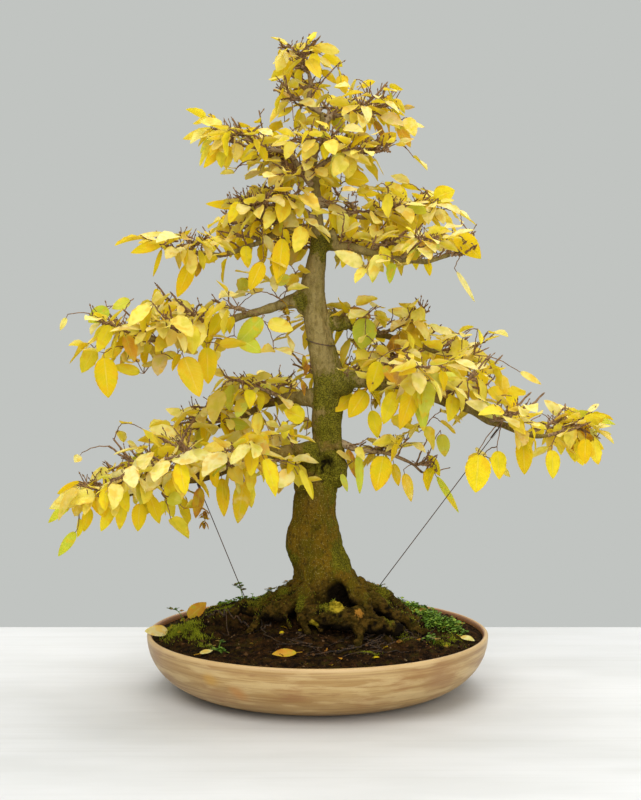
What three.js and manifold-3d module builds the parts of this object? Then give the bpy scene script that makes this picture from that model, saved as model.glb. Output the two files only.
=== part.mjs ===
import * as THREE from "three";
import { mergeVertices } from "three/addons/utils/BufferGeometryUtils.js";
import Module from "manifold-3d";

const wasm = await Module();
wasm.setup();

// A hornbeam bonsai in autumn leaf, in an oval bowl. Millimetres, +Z up, +Y to the back.
// The origin is the middle of the bowl's flat base.

// Bowl and soil
const RIM_HALF_LENGTH = 172.5;
const RIM_HALF_DEPTH = 158;
const BOWL_HEIGHT = 58;
const BOWL_WALL = 5;
const BOWL_FLOOR = 6;
const FOOT_HALF_LENGTH = 105;
const BOWL_ROUNDNESS = 2.2;
const BOWL_SIDES = 32;
const LIP = 1.5;
const DRAIN_OFFSET = 60;
const DRAIN_RADIUS = 9;
const SOIL_EDGE = 53;
const MOUND_HEIGHT = 36;
const FRONT_DROP = 17;
const LEFT_BANK = 10;

// Clearances and thin parts
const GAP = 0.3;
const BLADE = 0.75;
const WIRE_RADIUS = 0.6;

// The photograph's camera: its place in millimetres, and the picture's lens, middle and horizon in pixels
const CAMERA_SIDE = 3;
const CAMERA_DISTANCE = 1500;
const CAMERA_HEIGHT = 408.2;
const LENS_PIXELS = 1500;
const PICTURE_MIDDLE = [320.5, 400];
const HORIZON_PIXEL = 283.7;
const PITCH = Math.atan((PICTURE_MIDDLE[1] - HORIZON_PIXEL) / LENS_PIXELS);
const STALK_BEHIND_TIP = 6;

// The place, to a whole millimetre, of a mark read off the photograph by eye: pixel across, pixel down, and
// the depth chosen for it in millimetres. The ray through the pixel is cut at that depth.
function seen([across, down, depth]) {
  const up = (PICTURE_MIDDLE[1] - down) / LENS_PIXELS;
  const away = CAMERA_DISTANCE + depth;
  const climb = away * (up * Math.cos(PITCH) - Math.sin(PITCH)) / (Math.cos(PITCH) + up * Math.sin(PITCH));
  const ahead = away * Math.cos(PITCH) - climb * Math.sin(PITCH);
  const side = (across - PICTURE_MIDDLE[0]) / LENS_PIXELS * ahead;
  return [Math.round(CAMERA_SIDE + side), depth, Math.round(CAMERA_HEIGHT + climb)];
}

function seenAt(...marks) {
  return marks.map(seen);
}

// The trunk's centre line from the root base to the top: x, y, z, radius
const TRUNK = [
  [7, 2, 44, 18], [7, 1, 68, 34], [7, 0, 90, 34], [7, 0, 105, 31], [4, 0, 122, 27.5], [-1, 1, 137, 25.5],
  [-3, 2, 153, 27], [-3, 3, 164, 25.5], [-3, 4, 178, 21.5], [-1, 5, 197, 20], [4, 7, 217, 18.5],
  [10, 8, 232, 16.5], [10, 8, 253, 14.2], [9, 7, 268, 15], [11, 4, 294, 16], [10, 1, 314, 15],
  [5, -2, 338, 13.5], [0, -4, 366, 12.8], [-4, -3, 394, 12.2], [-4, -1, 412, 11.5], [-1, 1, 428, 10],
  [1, 3, 447, 7.5], [0, 4, 471, 6], [-1, 3, 491, 5], [-3, 0, 511, 4.5], [-4, -4, 534, 3.6],
  [6, -4, 549, 3], [5, -4, 564, 2.8], [4, -5, 577, 2.6],
];

// Surface roots: centre line and the radius at each of its points
const ROOTS = [
  {
    path: [[-6, -4, 102], [-30, -8, 91], [-54, -11, 83], [-72, -9, 80.5], [-90, -12, 75], [-110, -12, 69],
      [-128, -8, 61]],
    radii: [17, 12.5, 9, 8.4, 6.5, 6.5, 4.5],
  },
  { path: [[-14, -14, 98], [-30, -26, 90], [-42, -32, 84], [-54, -30, 78]], radii: [13, 11, 8.5, 5.5] },
  {
    path: [[-12, -20, 101], [-8, -38, 89], [8, -52, 84], [26, -60, 82], [42, -62, 83]],
    radii: [12, 11.5, 11, 10.5, 10],
  },
  { path: [[36, -60, 83], [54, -57, 77], [68, -54, 66]], radii: [9.5, 8, 5] },
  {
    path: [[19, -14, 120], [31, -28, 111], [39, -38, 103], [47, -46, 94], [54, -52, 80]],
    radii: [10, 7, 5.5, 5, 4.5],
  },
  {
    path: [[18, 0, 100], [46, 2, 94], [66, 3, 90.5], [79, -1, 81], [92, -8, 71], [104, -15, 64],
      [114, -24, 56]],
    radii: [17, 11.5, 10, 8, 6.5, 5.5, 4],
  },
  {
    path: [[30, -16, 97], [54, -21, 92], [72, -25, 83], [90, -27, 72], [106, -31, 60]],
    radii: [11, 8, 6.5, 5.5, 4],
  },
  { path: [[-17, -42, 88], [-12, -54, 76], [-6, -68, 58]], radii: [5, 3.4, 2.4] },
  { path: [[36, -64, 80], [39, -75, 68], [36, -88, 52]], radii: [5.5, 4, 2.6] },
  { path: [[0, 18, 92], [-32, 52, 82], [-62, 84, 66]], radii: [15, 10, 5] },
  { path: [[20, 18, 92], [50, 50, 82], [82, 76, 64]], radii: [14, 9, 5] },
  { path: [[6, 20, 94], [8, 66, 82], [10, 106, 64]], radii: [12, 8, 4] },
];

// Knots and swellings: centre and half sizes
const BURRS = [
  { at: [-25, -4, 152], size: [10, 14, 18] },
  { at: [22, -2, 214], size: [10, 12, 16] },
  { at: [15, -6, 234], size: [11, 13, 12] },
  { at: [14, -6, 452], size: [6, 7, 10] },
];

// Cut stubs: centre line, radii at root and cut
const STUBS = [
  { path: [[-8, -2, 204], [-20, -8, 209]], radii: [9, 7.5] },
  { path: [[18, 2, 366], [31, -4, 371]], radii: [8, 6] },
  { path: [[-133, -62, 219], [-146, -78, 206]], radii: [5.5, 4.6] },
];

// Limbs from low to high. A whole limb is slim and is one leafy spray with its boughs. The others are part
// of the tree's wood and carry one spray a bough. first: where along the limb the first bough grows,
// reach: bough length, rise: its climb a millimetre, leaf: the shortest common leaf times 1.4.
const LIMBS = [
  {
    name: "left_low_front", seed: 11, whole: false,
    path: [...seenAt([318, 455, 0], [290, 452, -18], [245, 462, -40], [214, 474, -52], [180, 480, -62],
      [150, 487, -70]), [-185, -75, 205]],
    radii: [8.5, 2.2], boughs: 6, first: 0.3, reach: 60, rise: 0.3, leaf: 31,
  },
  {
    name: "left_low_back", seed: 23, whole: false,
    path: [...seenAt([316, 398, 4], [290, 398, 25], [265, 404, 45], [235, 420, 60]), [-106, 66, 258]],
    radii: [6.0, 2.2], boughs: 4, first: 0.1, reach: 58, rise: 0.3, leaf: 30,
  },
  {
    name: "left_mid", seed: 37, whole: false,
    path: [...seenAt([303, 297, 0], [288, 303, 0], [262, 311, -4], [236, 317, -8]), [-111, -15, 359],
      [-145, -22, 352], [-176, -27, 358]],
    radii: [5.5, 2.0], boughs: 5, first: 0.36, reach: 60, rise: 0.2, leaf: 30,
  },
  {
    name: "left_upper", seed: 41, whole: false,
    path: [...seenAt([316, 232, 4], [295, 228, 8], [273, 236, 10], [250, 246, 8], [224, 255, 5]),
      [-117, 0, 437], [-130, -4, 437]],
    radii: [4.2, 1.6], boughs: 4, first: 0.05, reach: 54, rise: 0.2, leaf: 28,
  },
  {
    name: "left_upper_high", seed: 43, whole: true,
    path: [[0, 4, 471], [-18, -2, 482], [-40, -8, 486], [-58, -10, 484]],
    radii: [2.8, 1.3], boughs: 4, first: 0.15, reach: 36, rise: 0.2, leaf: 27,
  },
  {
    name: "left_top", seed: 53, whole: true,
    path: [[-5, 0, 506], [-12, -1, 514], ...seenAt([294, 159, -5], [283, 152, -8], [262, 148, -12]),
      [-72, -14, 543]],
    radii: [3.2, 1.5], boughs: 4, first: 0.1, reach: 40, rise: 0.2, leaf: 26,
  },
  {
    name: "right_main", seed: 67, whole: false,
    path: [...seenAt([334, 385, 0], [352, 380, -15], [380, 381, -32], [408, 384, -45], [441, 399, -55],
      [465, 408, -60], [500, 425, -62]), [206, -62, 263], [222, -61, 262]],
    radii: [9.0, 2.0], boughs: 6, first: 0.12, reach: 62, rise: 0.12, leaf: 31,
  },
  {
    name: "right_back", seed: 71, whole: false,
    path: [...seenAt([328, 322, 0], [342, 322, 14], [356, 327, 28], [385, 335, 48]), [106, 58, 343],
      [134, 60, 334]],
    radii: [6.5, 2.0], boughs: 4, first: 0.15, reach: 58, rise: 0.08, leaf: 30,
  },
  {
    name: "right_low", seed: 83, whole: true,
    path: [...seenAt([340, 443, 6], [357, 449, 6], [387, 453, 10], [410, 462, 8]), [106, 5, 218]],
    radii: [2.6, 1.2], boughs: 3, first: 0.2, reach: 34, rise: -0.1, leaf: 29,
  },
  {
    name: "right_upper", seed: 97, whole: false,
    path: [...seenAt([322, 242, 4], [340, 247, -8], [356, 249, -16], [385, 256, -25], [420, 260, -30]),
      [118, -32, 432], [130, -31, 436]],
    radii: [5.5, 1.8], boughs: 4, first: 0.3, reach: 50, rise: 0.3, leaf: 28,
  },
  {
    name: "right_upper_high", seed: 103, whole: true,
    path: [...seenAt([315, 200, 3], [328, 204, 5], [345, 211, 14], [361, 217, 22], [395, 215, 32]),
      [98, 35, 478]],
    radii: [4.0, 1.6], boughs: 4, first: 0.35, reach: 46, rise: 0.35, leaf: 28,
  },
  {
    name: "top_right", seed: 113, whole: true,
    path: [[5, -3, 562], ...seenAt([331, 117, 5], [345, 115, 10], [358, 111.6, 14]), [50, 16, 583]],
    radii: [2.6, 1.4], boughs: 4, first: 0.1, reach: 38, rise: 0.05, leaf: 25,
  },
  {
    name: "top_right_low", seed: 117, whole: true,
    path: [[-1, -2, 522], [12, -12, 530], [30, -20, 534], [52, -24, 536]],
    radii: [2.6, 1.4], boughs: 4, first: 0.3, reach: 36, rise: 0.2, leaf: 26,
  },
  {
    name: "back_low", seed: 127, whole: true,
    path: [[6, 2, 286], [18, 30, 300], [32, 60, 306], [48, 84, 304]],
    radii: [4.5, 1.8], boughs: 4, first: 0.4, reach: 58, rise: 0.1, leaf: 30,
  },
  {
    name: "back_mid", seed: 131, whole: true,
    path: [[-2, 0, 425], [0, 26, 440], [4, 52, 450], [8, 74, 452]],
    radii: [4.2, 1.6], boughs: 4, first: 0.4, reach: 52, rise: 0.15, leaf: 29,
  },
  {
    name: "back_top", seed: 139, whole: true,
    path: [[-2, 2, 505], [-8, 20, 514], [-20, 40, 520]],
    radii: [3.2, 1.5], boughs: 3, first: 0.3, reach: 42, rise: 0.25, leaf: 26,
  },
  {
    name: "front_top", seed: 149, whole: true,
    path: [[-4, -3, 530], [0, -20, 540], [4, -32, 544]],
    radii: [2.6, 1.4], boughs: 3, first: 0.3, reach: 34, rise: 0.2, leaf: 25,
  },
  {
    name: "apex", seed: 151, whole: true,
    path: [...seenAt([322, 112, -5], [309, 105, -6], [310.4, 84, -7], [306.5, 67, -8]), [-20, -8, 630]],
    radii: [2.4, 1.4], boughs: 5, first: 0.1, reach: 31, rise: 0.35, leaf: 23,
  },
];

// Large leaves placed one by one, mostly hanging at the front, as they lie on the photograph: the pixels of
// the stalk end and of the tip, the tip's depth in millimetres and the width in pixels
const CHOSEN_LEAVES = [
  [[104, 357], [108.6, 398], -52, 25],
  [[184, 357], [200, 397], -48, 26],
  [[207, 347], [208, 384], -30, 20],
  [[108, 309], [88, 322], -40, 17],
  [[158, 305], [158, 291], -20, 13],
  [[110, 325], [97, 352], -50, 14],
  [[140, 372], [112, 366], -30, 12],
  [[262, 318], [236, 345], -20, 20],
  [[238, 338], [262, 352], -22, 18],
  [[268, 322], [293, 330], -16, 17],
  [[269.5, 400], [240, 392], 22, 18],
  [[232, 391], [213, 396], 40, 15],
  [[234, 408], [208, 414], 40, 14],
  [[226, 422], [250, 427], 20, 14],
  [[268.6, 439], [233, 446], -30, 22],
  [[304, 418], [284, 410], -14, 20],
  [[222, 478], [224, 517], -60, 15],
  [[243, 482], [238, 524], -58, 19],
  [[291, 470], [279, 488], -36, 17],
  [[300, 469], [313, 500], -48, 7],
  [[75, 532], [58, 556], -70, 12],
  [[85, 484], [57, 493], -60, 14],
  [[98, 488], [104, 518], -90, 22],
  [[122, 500], [120, 530], -95, 13],
  [[150, 496], [160, 524], -95, 14],
  [[168, 497], [182, 502], -98, 16],
  [[72, 500], [48, 523], -66, 10],
  [[80, 455], [75, 462], -50, 9],
  [[383, 456], [376, 491], -10, 24],
  [[358, 453], [360, 494], -8, 10],
  [[347, 449], [356, 478], -6, 10],
  [[342, 474], [348, 492], -20, 7],
  [[394, 464], [399, 486], 0, 10],
  [[405, 473], [412, 502], 0, 12],
  [[441, 434], [445, 457], -20, 15],
  [[429, 455], [440, 476], -6, 11],
  [[437, 477], [460, 513], 6, 8],
  [[478, 455], [476, 493], -78, 28],
  [[497, 451], [500, 480], -72, 18],
  [[523, 440], [525, 475], -74, 20],
  [[552, 450], [553, 479], -74, 17],
  [[578, 432], [604, 449], -50, 13],
  [[575, 412], [616, 424], -55, 10],
  [[560, 415], [545, 400], -40, 12],
  [[422, 317.5], [388, 309], 40, 14],
  [[371, 317], [345, 308], 20, 12],
  [[366, 318], [362, 350], -10, 26],
  [[379, 361], [370, 393], -52, 20],
  [[383.5, 366], [400, 386], -60, 12],
  [[429, 372], [447, 398], -70, 12],
  [[417, 381], [400, 430], -95, 20],
  [[419, 383], [424, 432], -90, 19],
  [[398, 335], [386, 352], 0, 9],
  [[476, 404], [500, 418], -80, 16],
  [[520, 372], [542, 384], 30, 8],
  [[366, 391], [349, 418], -22, 20],
  [[352, 395], [336, 412], -10, 14],
  [[394, 392], [384, 424], -60, 18],
  [[372, 410], [378, 438], -24, 15],
  [[140, 503], [138, 532], -92, 16],
  [[112, 507], [101, 532], -86, 13],
  [[90, 508], [84, 532], -82, 12],
  [[200, 488], [196, 518], -70, 13],
  [[66, 318], [60, 330], -36, 6],
  [[130, 300], [112, 308], -30, 12],
  [[178, 303], [160, 312], -14, 10],
  [[345, 177], [369, 181], -30, 19],
  [[405, 203], [386, 181], 10, 20],
  [[434, 198], [455, 190], 20, 21],
  [[455, 234], [481, 258], -40, 24],
  [[457, 271], [475.5, 302], -46, 6],
  [[363, 265], [335, 251], -40, 16],
  [[369, 264], [369, 276], -30, 12],
  [[427, 211], [406, 207], 0, 11],
  [[352, 217], [349, 238], -16, 16],
  [[333, 208], [336, 229], -10, 12],
  [[402, 108], [415, 107], 14, 6],
  [[399, 126], [411, 147], 10, 13],
  [[192, 263], [177, 297], -20, 16],
  [[198, 262], [196, 277], -12, 10],
  [[163, 242], [130, 252], -10, 12],
  [[165, 234], [136, 235], 0, 6],
  [[162, 250], [153, 277], -8, 5],
  [[237, 206], [206, 203], 0, 10],
  [[240, 214], [219, 222], -6, 10],
  [[256, 207], [240, 217], -14, 6],
  [[282, 238], [278, 284], -40, 18],
  [[262, 262], [250, 290], -36, 16],
  [[215, 130], [183, 138], -16, 11],
  [[224, 142], [204, 168], -24, 12],
  [[216, 122], [198, 118], -10, 9],
];

// How boughs, twigs and leaves grow
const TWIGS_ON_BOUGH = 6;
const TWIG_SPOTS = [0.4, 0.7, 0.98];
const TIP_SPOTS = [0.5, 0.75, 0.98];
const WOOD_CLEARANCE = 3;
const LEAF_CLEARANCE = 2.5;
const LEAF_SPACING = 5;
const LEAVES_KEPT = 0.9;
const SHOWN_SHARE = 0.13;
const LONG_LEAF = 28;

const UP = new THREE.Vector3(0, 0, 1);
const BACK = new THREE.Vector3(0, 1, 0);
const vector = (xyz) => new THREE.Vector3(...xyz);
const curveOf = (points) => new THREE.CatmullRomCurve3(points, false, "catmullrom", 0.5);
const turned = (v, angle) => v.clone().applyAxisAngle(UP, angle);
const level = (v) => new THREE.Vector3(v.x, v.y, 0).normalize();

// A repeatable stream of draws
class Draws {
  constructor(seed) {
    this.state = seed * 7919 + 17;
    for (let i = 0; i < 3; i++) this.between(0, 1);
  }
  between(low, high) {
    this.state = (this.state * 16807) % 2147483647;
    return low + ((high - low) * this.state) / 2147483647;
  }
}

function slope(curve, t) {
  return curve.getPoint(Math.min(1, t + 0.02)).sub(curve.getPoint(Math.max(0, t - 0.02)));
}

// The radius along a path with a radius at each of its points
function radiusBetween(radii) {
  return (t) => {
    const at = t * (radii.length - 1);
    const i = Math.min(Math.floor(at), radii.length - 2);
    return radii[i] + (at - i) * (radii[i + 1] - radii[i]);
  };
}

// Solids

function solid(geometry) {
  const bare = geometry.clone();
  bare.deleteAttribute("normal");
  bare.deleteAttribute("uv");
  const merged = mergeVertices(bare, 1e-4);
  const index = merged.index.array;
  const corners = [];
  for (let i = 0; i < index.length; i += 3) {
    const [a, b, c] = [index[i], index[i + 1], index[i + 2]];
    if (a !== b && b !== c && c !== a) corners.push(a, b, c);
  }
  return new wasm.Manifold(
    new wasm.Mesh({
      numProp: 3,
      vertProperties: merged.attributes.position.array,
      triVerts: new Uint32Array(corners),
    }),
  );
}

function joined(solids) {
  return solids.reduce((whole, next) => whole.add(next));
}

// The largest body of a solid: cutting can leave a loose scrap
function mainBody(whole) {
  return whole.decompose().reduce((best, body) => (body.volume() > best.volume() ? body : best));
}

function reshape(geometry, move) {
  const place = geometry.attributes.position;
  const p = new THREE.Vector3();
  for (let i = 0; i < place.count; i++) {
    p.fromBufferAttribute(place, i);
    move(p);
    place.setXYZ(i, p.x, p.y, p.z);
  }
  return geometry;
}

// Which corner of a many-sided cylinder a point is on, or -1 in the middle of an end
function cornerOf(p, sides) {
  if (Math.hypot(p.x, p.z) < 0.5) return -1;
  return (Math.round((Math.atan2(p.x, p.z) / (2 * Math.PI)) * sides) + sides) % sides;
}

// A cylinder bent along a curve, its radius following radiusAt. margin swells it for cutting clearances.
function tube({ curve, radiusAt, sides, steps }, margin = 0) {
  const run = curve.getPoint(1).sub(curve.getPoint(0));
  const reference = Math.abs(run.z) > 0.7 * run.length() ? BACK : UP;
  const swell = margin / Math.cos(Math.PI / sides);
  const shape = new THREE.CylinderGeometry(1, 1, 1, sides, steps);
  return solid(
    reshape(shape, (p) => {
      const t = Math.round((p.y + 0.5) * steps) / steps;
      const corner = cornerOf(p, sides);
      const ahead = slope(curve, t).normalize();
      const across = reference.clone().cross(ahead).normalize();
      const round = across.clone().cross(ahead);
      p.copy(curve.getPoint(t));
      if (t === 0) p.addScaledVector(ahead, -margin);
      if (t === 1) p.addScaledVector(ahead, margin);
      if (corner < 0) return;
      const angle = (2 * Math.PI * corner) / sides;
      const radius = radiusAt(t) + swell;
      p.addScaledVector(across, radius * Math.sin(angle)).addScaledVector(round, radius * Math.cos(angle));
    }),
  );
}

function rod(points, radii, sides, steps) {
  return { curve: curveOf(points.map(vector)), radiusAt: radiusBetween(radii), sides, steps };
}

function ball({ at, size }, margin = 0) {
  const shape = new THREE.IcosahedronGeometry(1, 1);
  shape.scale(...size.map((half) => half + margin)).translate(...at);
  return solid(shape);
}

// A blade's outline: share of the length, share of the half width
const OUTLINE = [[0.28, 0.93], [0.64, 0.76]];
const MIDDLE = 0.42;

// A point of a blade, u along its midrib from 0 to 1, v across it from -1 to 1
function bladePoint(leaf, u, v) {
  const side = leaf.facing.clone().cross(leaf.ahead);
  return leaf.base
    .clone()
    .addScaledVector(leaf.ahead, u * leaf.length)
    .addScaledVector(leaf.facing, -leaf.bend * leaf.length * u * u)
    .addScaledVector(side, v * leaf.width);
}

// A leaf on its own: a six-sided blade folded at the midrib, its stalk running back to where it grows from
function blade(leaf, from, margin = 0) {
  const half = OUTLINE.map(([u, v]) => [u, v]);
  const rim = [[0, 0], ...half, [1, 0], ...half.map(([u, v]) => [u, -v]).reverse()];
  const shape = new THREE.CylinderGeometry(1, 1, 1, rim.length, 1);
  return solid(
    reshape(shape, (p) => {
      const thick = Math.sign(p.y) * (BLADE / 2 + margin);
      const corner = cornerOf(p, rim.length);
      const [u, v] = corner < 0 ? [MIDDLE, 0] : rim[corner];
      const spread = Math.cos(leaf.fold) + margin / leaf.width;
      p.copy(bladePoint(leaf, u, -v * spread));
      if (u === 0) p.copy(from).addScaledVector(leaf.ahead, -0.3 - margin);
      if (u === 1) p.addScaledVector(leaf.ahead, margin);
      p.addScaledVector(leaf.facing, thick + leaf.width * Math.abs(v) * Math.sin(leaf.fold));
    }),
  );
}

// A four-cornered run through rows, each with a middle, half sizes and the directions they are measured in
function run(rows, margin = 0) {
  const last = rows.length - 1;
  const shape = new THREE.BoxGeometry(2, last, 2, 1, last, 1);
  return solid(
    reshape(shape, (p) => {
      const i = Math.round(p.y + last / 2);
      const { at, ahead, side, up, wide, high } = rows[i];
      const out = i === 0 ? -margin : i === last ? margin : 0;
      const [x, z] = [-p.x * (wide + margin), p.z * (high + margin)];
      p.copy(at).addScaledVector(ahead, out).addScaledVector(side, x).addScaledVector(up, z);
    }),
  );
}

// A square stem keeps one way up all along, so that its faces are flat
function stemRows(points, radii, upFor) {
  const ahead = points.at(-1).clone().sub(points[0]).normalize();
  const up = upFor(ahead);
  const side = up.clone().cross(ahead);
  return points.map((at, i) => {
    const half = 0.8 * radii(i / (points.length - 1));
    return { at, ahead, side, up, wide: half, high: half };
  });
}

function bladeRows(leaf) {
  const side = leaf.facing.clone().cross(leaf.ahead);
  const shape = leaf.length > LONG_LEAF ? OUTLINE : [[MIDDLE, 1]];
  return [...shape, [1, 0.35 / leaf.width]].map(([u, v]) => ({
    at: bladePoint(leaf, u, 0),
    ahead: leaf.ahead,
    side,
    up: leaf.facing,
    wide: v * leaf.width,
    high: BLADE / 2,
  }));
}

function stemWithLeaf(points, radii, leaf, margin) {
  const upFor = (ahead) => {
    const turn = new THREE.Quaternion().setFromUnitVectors(leaf.ahead, ahead);
    return leaf.facing.clone().applyQuaternion(turn);
  };
  return run([...stemRows(points, radii, upFor), ...bladeRows(leaf)], margin);
}

function bareStem(points, radii, margin) {
  const upFor = (ahead) => {
    const reference = Math.abs(ahead.z) > 0.8 ? BACK : UP;
    return reference.clone().addScaledVector(ahead, -reference.dot(ahead)).normalize();
  };
  return run(stemRows(points, radii, upFor), margin);
}

// Wood

const trunkRod = rod(TRUNK.map((row) => row.slice(0, 3)), TRUNK.map((row) => row[3]), 10, TRUNK.length - 1);
const limbRod = (limb) => rod(limb.path, limb.radii, limb.whole ? 4 : 5, limb.path.length - 1);

// Points inside the trunk, the limbs and the wires with the radius there, to keep leaves and twigs off them
function woodPoints(extra) {
  const points = [];
  const sample = ({ curve, radiusAt }, steps) => {
    for (let k = 0; k <= steps; k++) {
      const t = k / steps;
      points.push({ at: curve.getPoint(t), radius: radiusAt(t) });
    }
  };
  sample(trunkRod, TRUNK.length * 3 - 1);
  for (const limb of LIMBS) sample(limbRod(limb), 4 * (limb.path.length - 1));
  for (const wire of extra) sample(wire, 40);
  return points;
}

// Guy wires: where each is tied on its limb, and its foot on the root base
const GUYS = [
  { name: "guy_wire_left", limb: "left_low_front", along: 0.58, foot: [-72, -6, 89] },
  { name: "guy_wire_right", limb: "right_main", along: 0.75, foot: [61, 4, 100] },
];

function guyOf({ limb, along, foot }) {
  const bearer = limbRod(LIMBS.find((row) => row.name === limb));
  const middle = bearer.curve.getPoint(along);
  const ring = bearer.radiusAt(along) + 2 * GAP + WIRE_RADIUS;
  const heading = slope(bearer.curve, along).normalize();
  const down = vector(foot).sub(middle);
  down.addScaledVector(heading, -down.dot(heading)).normalize();
  const top = middle.clone().addScaledVector(down, ring);
  const line = { curve: curveOf([vector(foot), top]), radiusAt: () => WIRE_RADIUS, sides: 6, steps: 1 };
  return { middle, ring, heading, line };
}

const guys = GUYS.map((row) => ({ name: row.name, ...guyOf(row) }));

// Growth

const boughs = [];
const twigs = [];
const leaves = [];

function grow() {
  const wood = woodPoints(guys.map((guy) => guy.line));
  const clear = (point, gap) => wood.every((w) => w.at.distanceToSquared(point) > (w.radius + gap) ** 2);
  for (const limb of LIMBS) growBoughs(limb, clear);
  hangChosenLeaves();
  const taken = leaves.flatMap(samplesOf);
  const draws = new Draws(977);
  for (const twig of [...twigs]) if (!twig.chosen) growLeaves(twig, draws, clear, taken);
}

function growBoughs(limb, clear) {
  const draws = new Draws(limb.seed);
  const curve = limbRod(limb).curve;
  for (let k = 0; k < limb.boughs; k++) {
    const last = k === limb.boughs - 1;
    const shift = last ? 0 : draws.between(-0.25, 0.25);
    const t = last ? 1 : limb.first + ((0.93 - limb.first) * (k + 0.5 + shift)) / (limb.boughs - 1);
    const side = last ? 0 : k % 2 ? -1 : 1;
    let turn = side * (1.3 - 0.5 * t + draws.between(-0.25, 0.25)) + draws.between(-0.1, 0.1);
    if (limb.name === "apex") turn = k * 2.4 + draws.between(-0.3, 0.3);
    const heading = turned(level(slope(curve, t)), turn);
    const swell = 0.85 + 0.25 * Math.sin(Math.PI * Math.min(1, 0.25 + 0.75 * t));
    const length = limb.reach * swell * draws.between(0.88, 1.12) * (last ? 0.62 : 1);
    const across = turned(heading, Math.PI / 2);
    const start = curve.getPoint(t);
    const flip = draws.between(-1, 1) > 0 ? 1 : -1;
    const climb = limb.rise + draws.between(-0.2, 0.3);
    const points = [start];
    for (const share of [0.3, 0.62, 1]) {
      const sway = (share === 0.62 ? -0.07 : 0.07) * length * flip * draws.between(0.4, 1.2);
      const lift = length * (climb * share + draws.between(-0.05, 0.07));
      const point = start.clone().addScaledVector(heading, length * share);
      points.push(point.addScaledVector(across, sway).addScaledVector(UP, lift));
    }
    const root = Math.min(2, 0.75 * (limb.radii[0] + (limb.radii[1] - limb.radii[0]) * t));
    const bough = { limb, at: t, points, curve: curveOf(points), root, number: k + 1 };
    boughs.push(bough);
    growTwigs(bough, k, draws, clear);
  }
}

function growTwigs(bough, k, draws, clear) {
  const reach = bough.limb.reach;
  for (let j = 0; j < TWIGS_ON_BOUGH; j++) {
    const t = Math.min(0.95, 0.15 + (0.8 * (j + draws.between(0, 0.7))) / (TWIGS_ON_BOUGH - 0.4));
    const side = (j + k) % 2 ? 1 : -1;
    const heading = turned(level(slope(bough.curve, t)), side * draws.between(0.6, 1.25));
    const length = reach * draws.between(0.36, 0.62) * (1.2 - 0.45 * t);
    const rise = draws.between(-0.3, 0.95);
    const kink = draws.between(-0.16, 0.16);
    const fork = {
      bough,
      at: draws.between(0.35, 0.6),
      heading: turned(heading, -side * draws.between(0.5, 1.1)),
      length: length * draws.between(0.45, 0.7),
      rise: draws.between(-0.4, 0.9),
      kink: -kink,
    };
    const twig = twigOf({ bough, at: t, heading, length, rise, kink }, clear);
    if (twig) twigOf({ ...fork, parent: twig }, clear);
  }
  twigs.push({ bough, tip: true, points: bough.points.slice(1), curve: curveOf(bough.points.slice(1)) });
}

function twigOf({ bough, parent, at, heading, length, rise, kink }, clear) {
  const start = (parent ?? bough).curve.getPoint(at);
  const middle = start
    .clone()
    .addScaledVector(heading, length * 0.5)
    .addScaledVector(turned(heading, Math.PI / 2), length * kink)
    .addScaledVector(UP, length * 0.35 * rise);
  const end = start.clone().addScaledVector(heading, length).addScaledVector(UP, length * rise);
  if (!clear(middle, WOOD_CLEARANCE) || !clear(end, WOOD_CLEARANCE)) return null;
  const points = [start, middle, end];
  const twig = { bough, parent, at, points, curve: curveOf(points) };
  twigs.push(twig);
  return twig;
}

// Each chosen leaf hangs from the nearest twig by a twig of its own
function hangChosenLeaves() {
  const spots = [];
  for (const twig of twigs) {
    if (twig.parent || twig.chosen) continue;
    for (const t of [0.25, 0.5, 0.75, 1]) spots.push({ twig, at: twig.curve.getPoint(t) });
  }
  for (const [stalk, end, depth, spread] of CHOSEN_LEAVES) {
    const base = seen([...stalk, depth + STALK_BEHIND_TIP]);
    const tip = seen([...end, depth]);
    const width = Math.round(spread * (CAMERA_DISTANCE + depth) / CAMERA_DISTANCE);
    const foot = vector(base);
    const run = vector(tip).sub(foot);
    const ahead = run.clone().normalize();
    const front = new THREE.Vector3(0.25, -1, 0.35);
    const facing = front.addScaledVector(ahead, -front.dot(ahead)).normalize();
    let best = null;
    for (const spot of spots) {
      const cost = spot.at.distanceTo(foot) + 0.5 * Math.max(0, foot.z - spot.at.z);
      if (!best || cost < best.cost) best = { ...spot, cost };
    }
    const twig = { bough: best.twig.bough, chosen: true };
    twigs.push(twig);
    const size = { length: run.length(), width: width / 2, bend: 0.06, fold: 0.18 };
    leaves.push({ twig, base: foot, ahead, facing, ...size, rank: -1 });
  }
}

const SAMPLES = [
  [0.12, 0], [0.4, 0], [0.7, 0], [0.97, 0], [0.4, 0.8], [0.4, -0.8], [0.65, 0.7], [0.65, -0.7],
];
const samplesOf = (leaf) => SAMPLES.map(([u, v]) => bladePoint(leaf, u, v));

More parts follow.
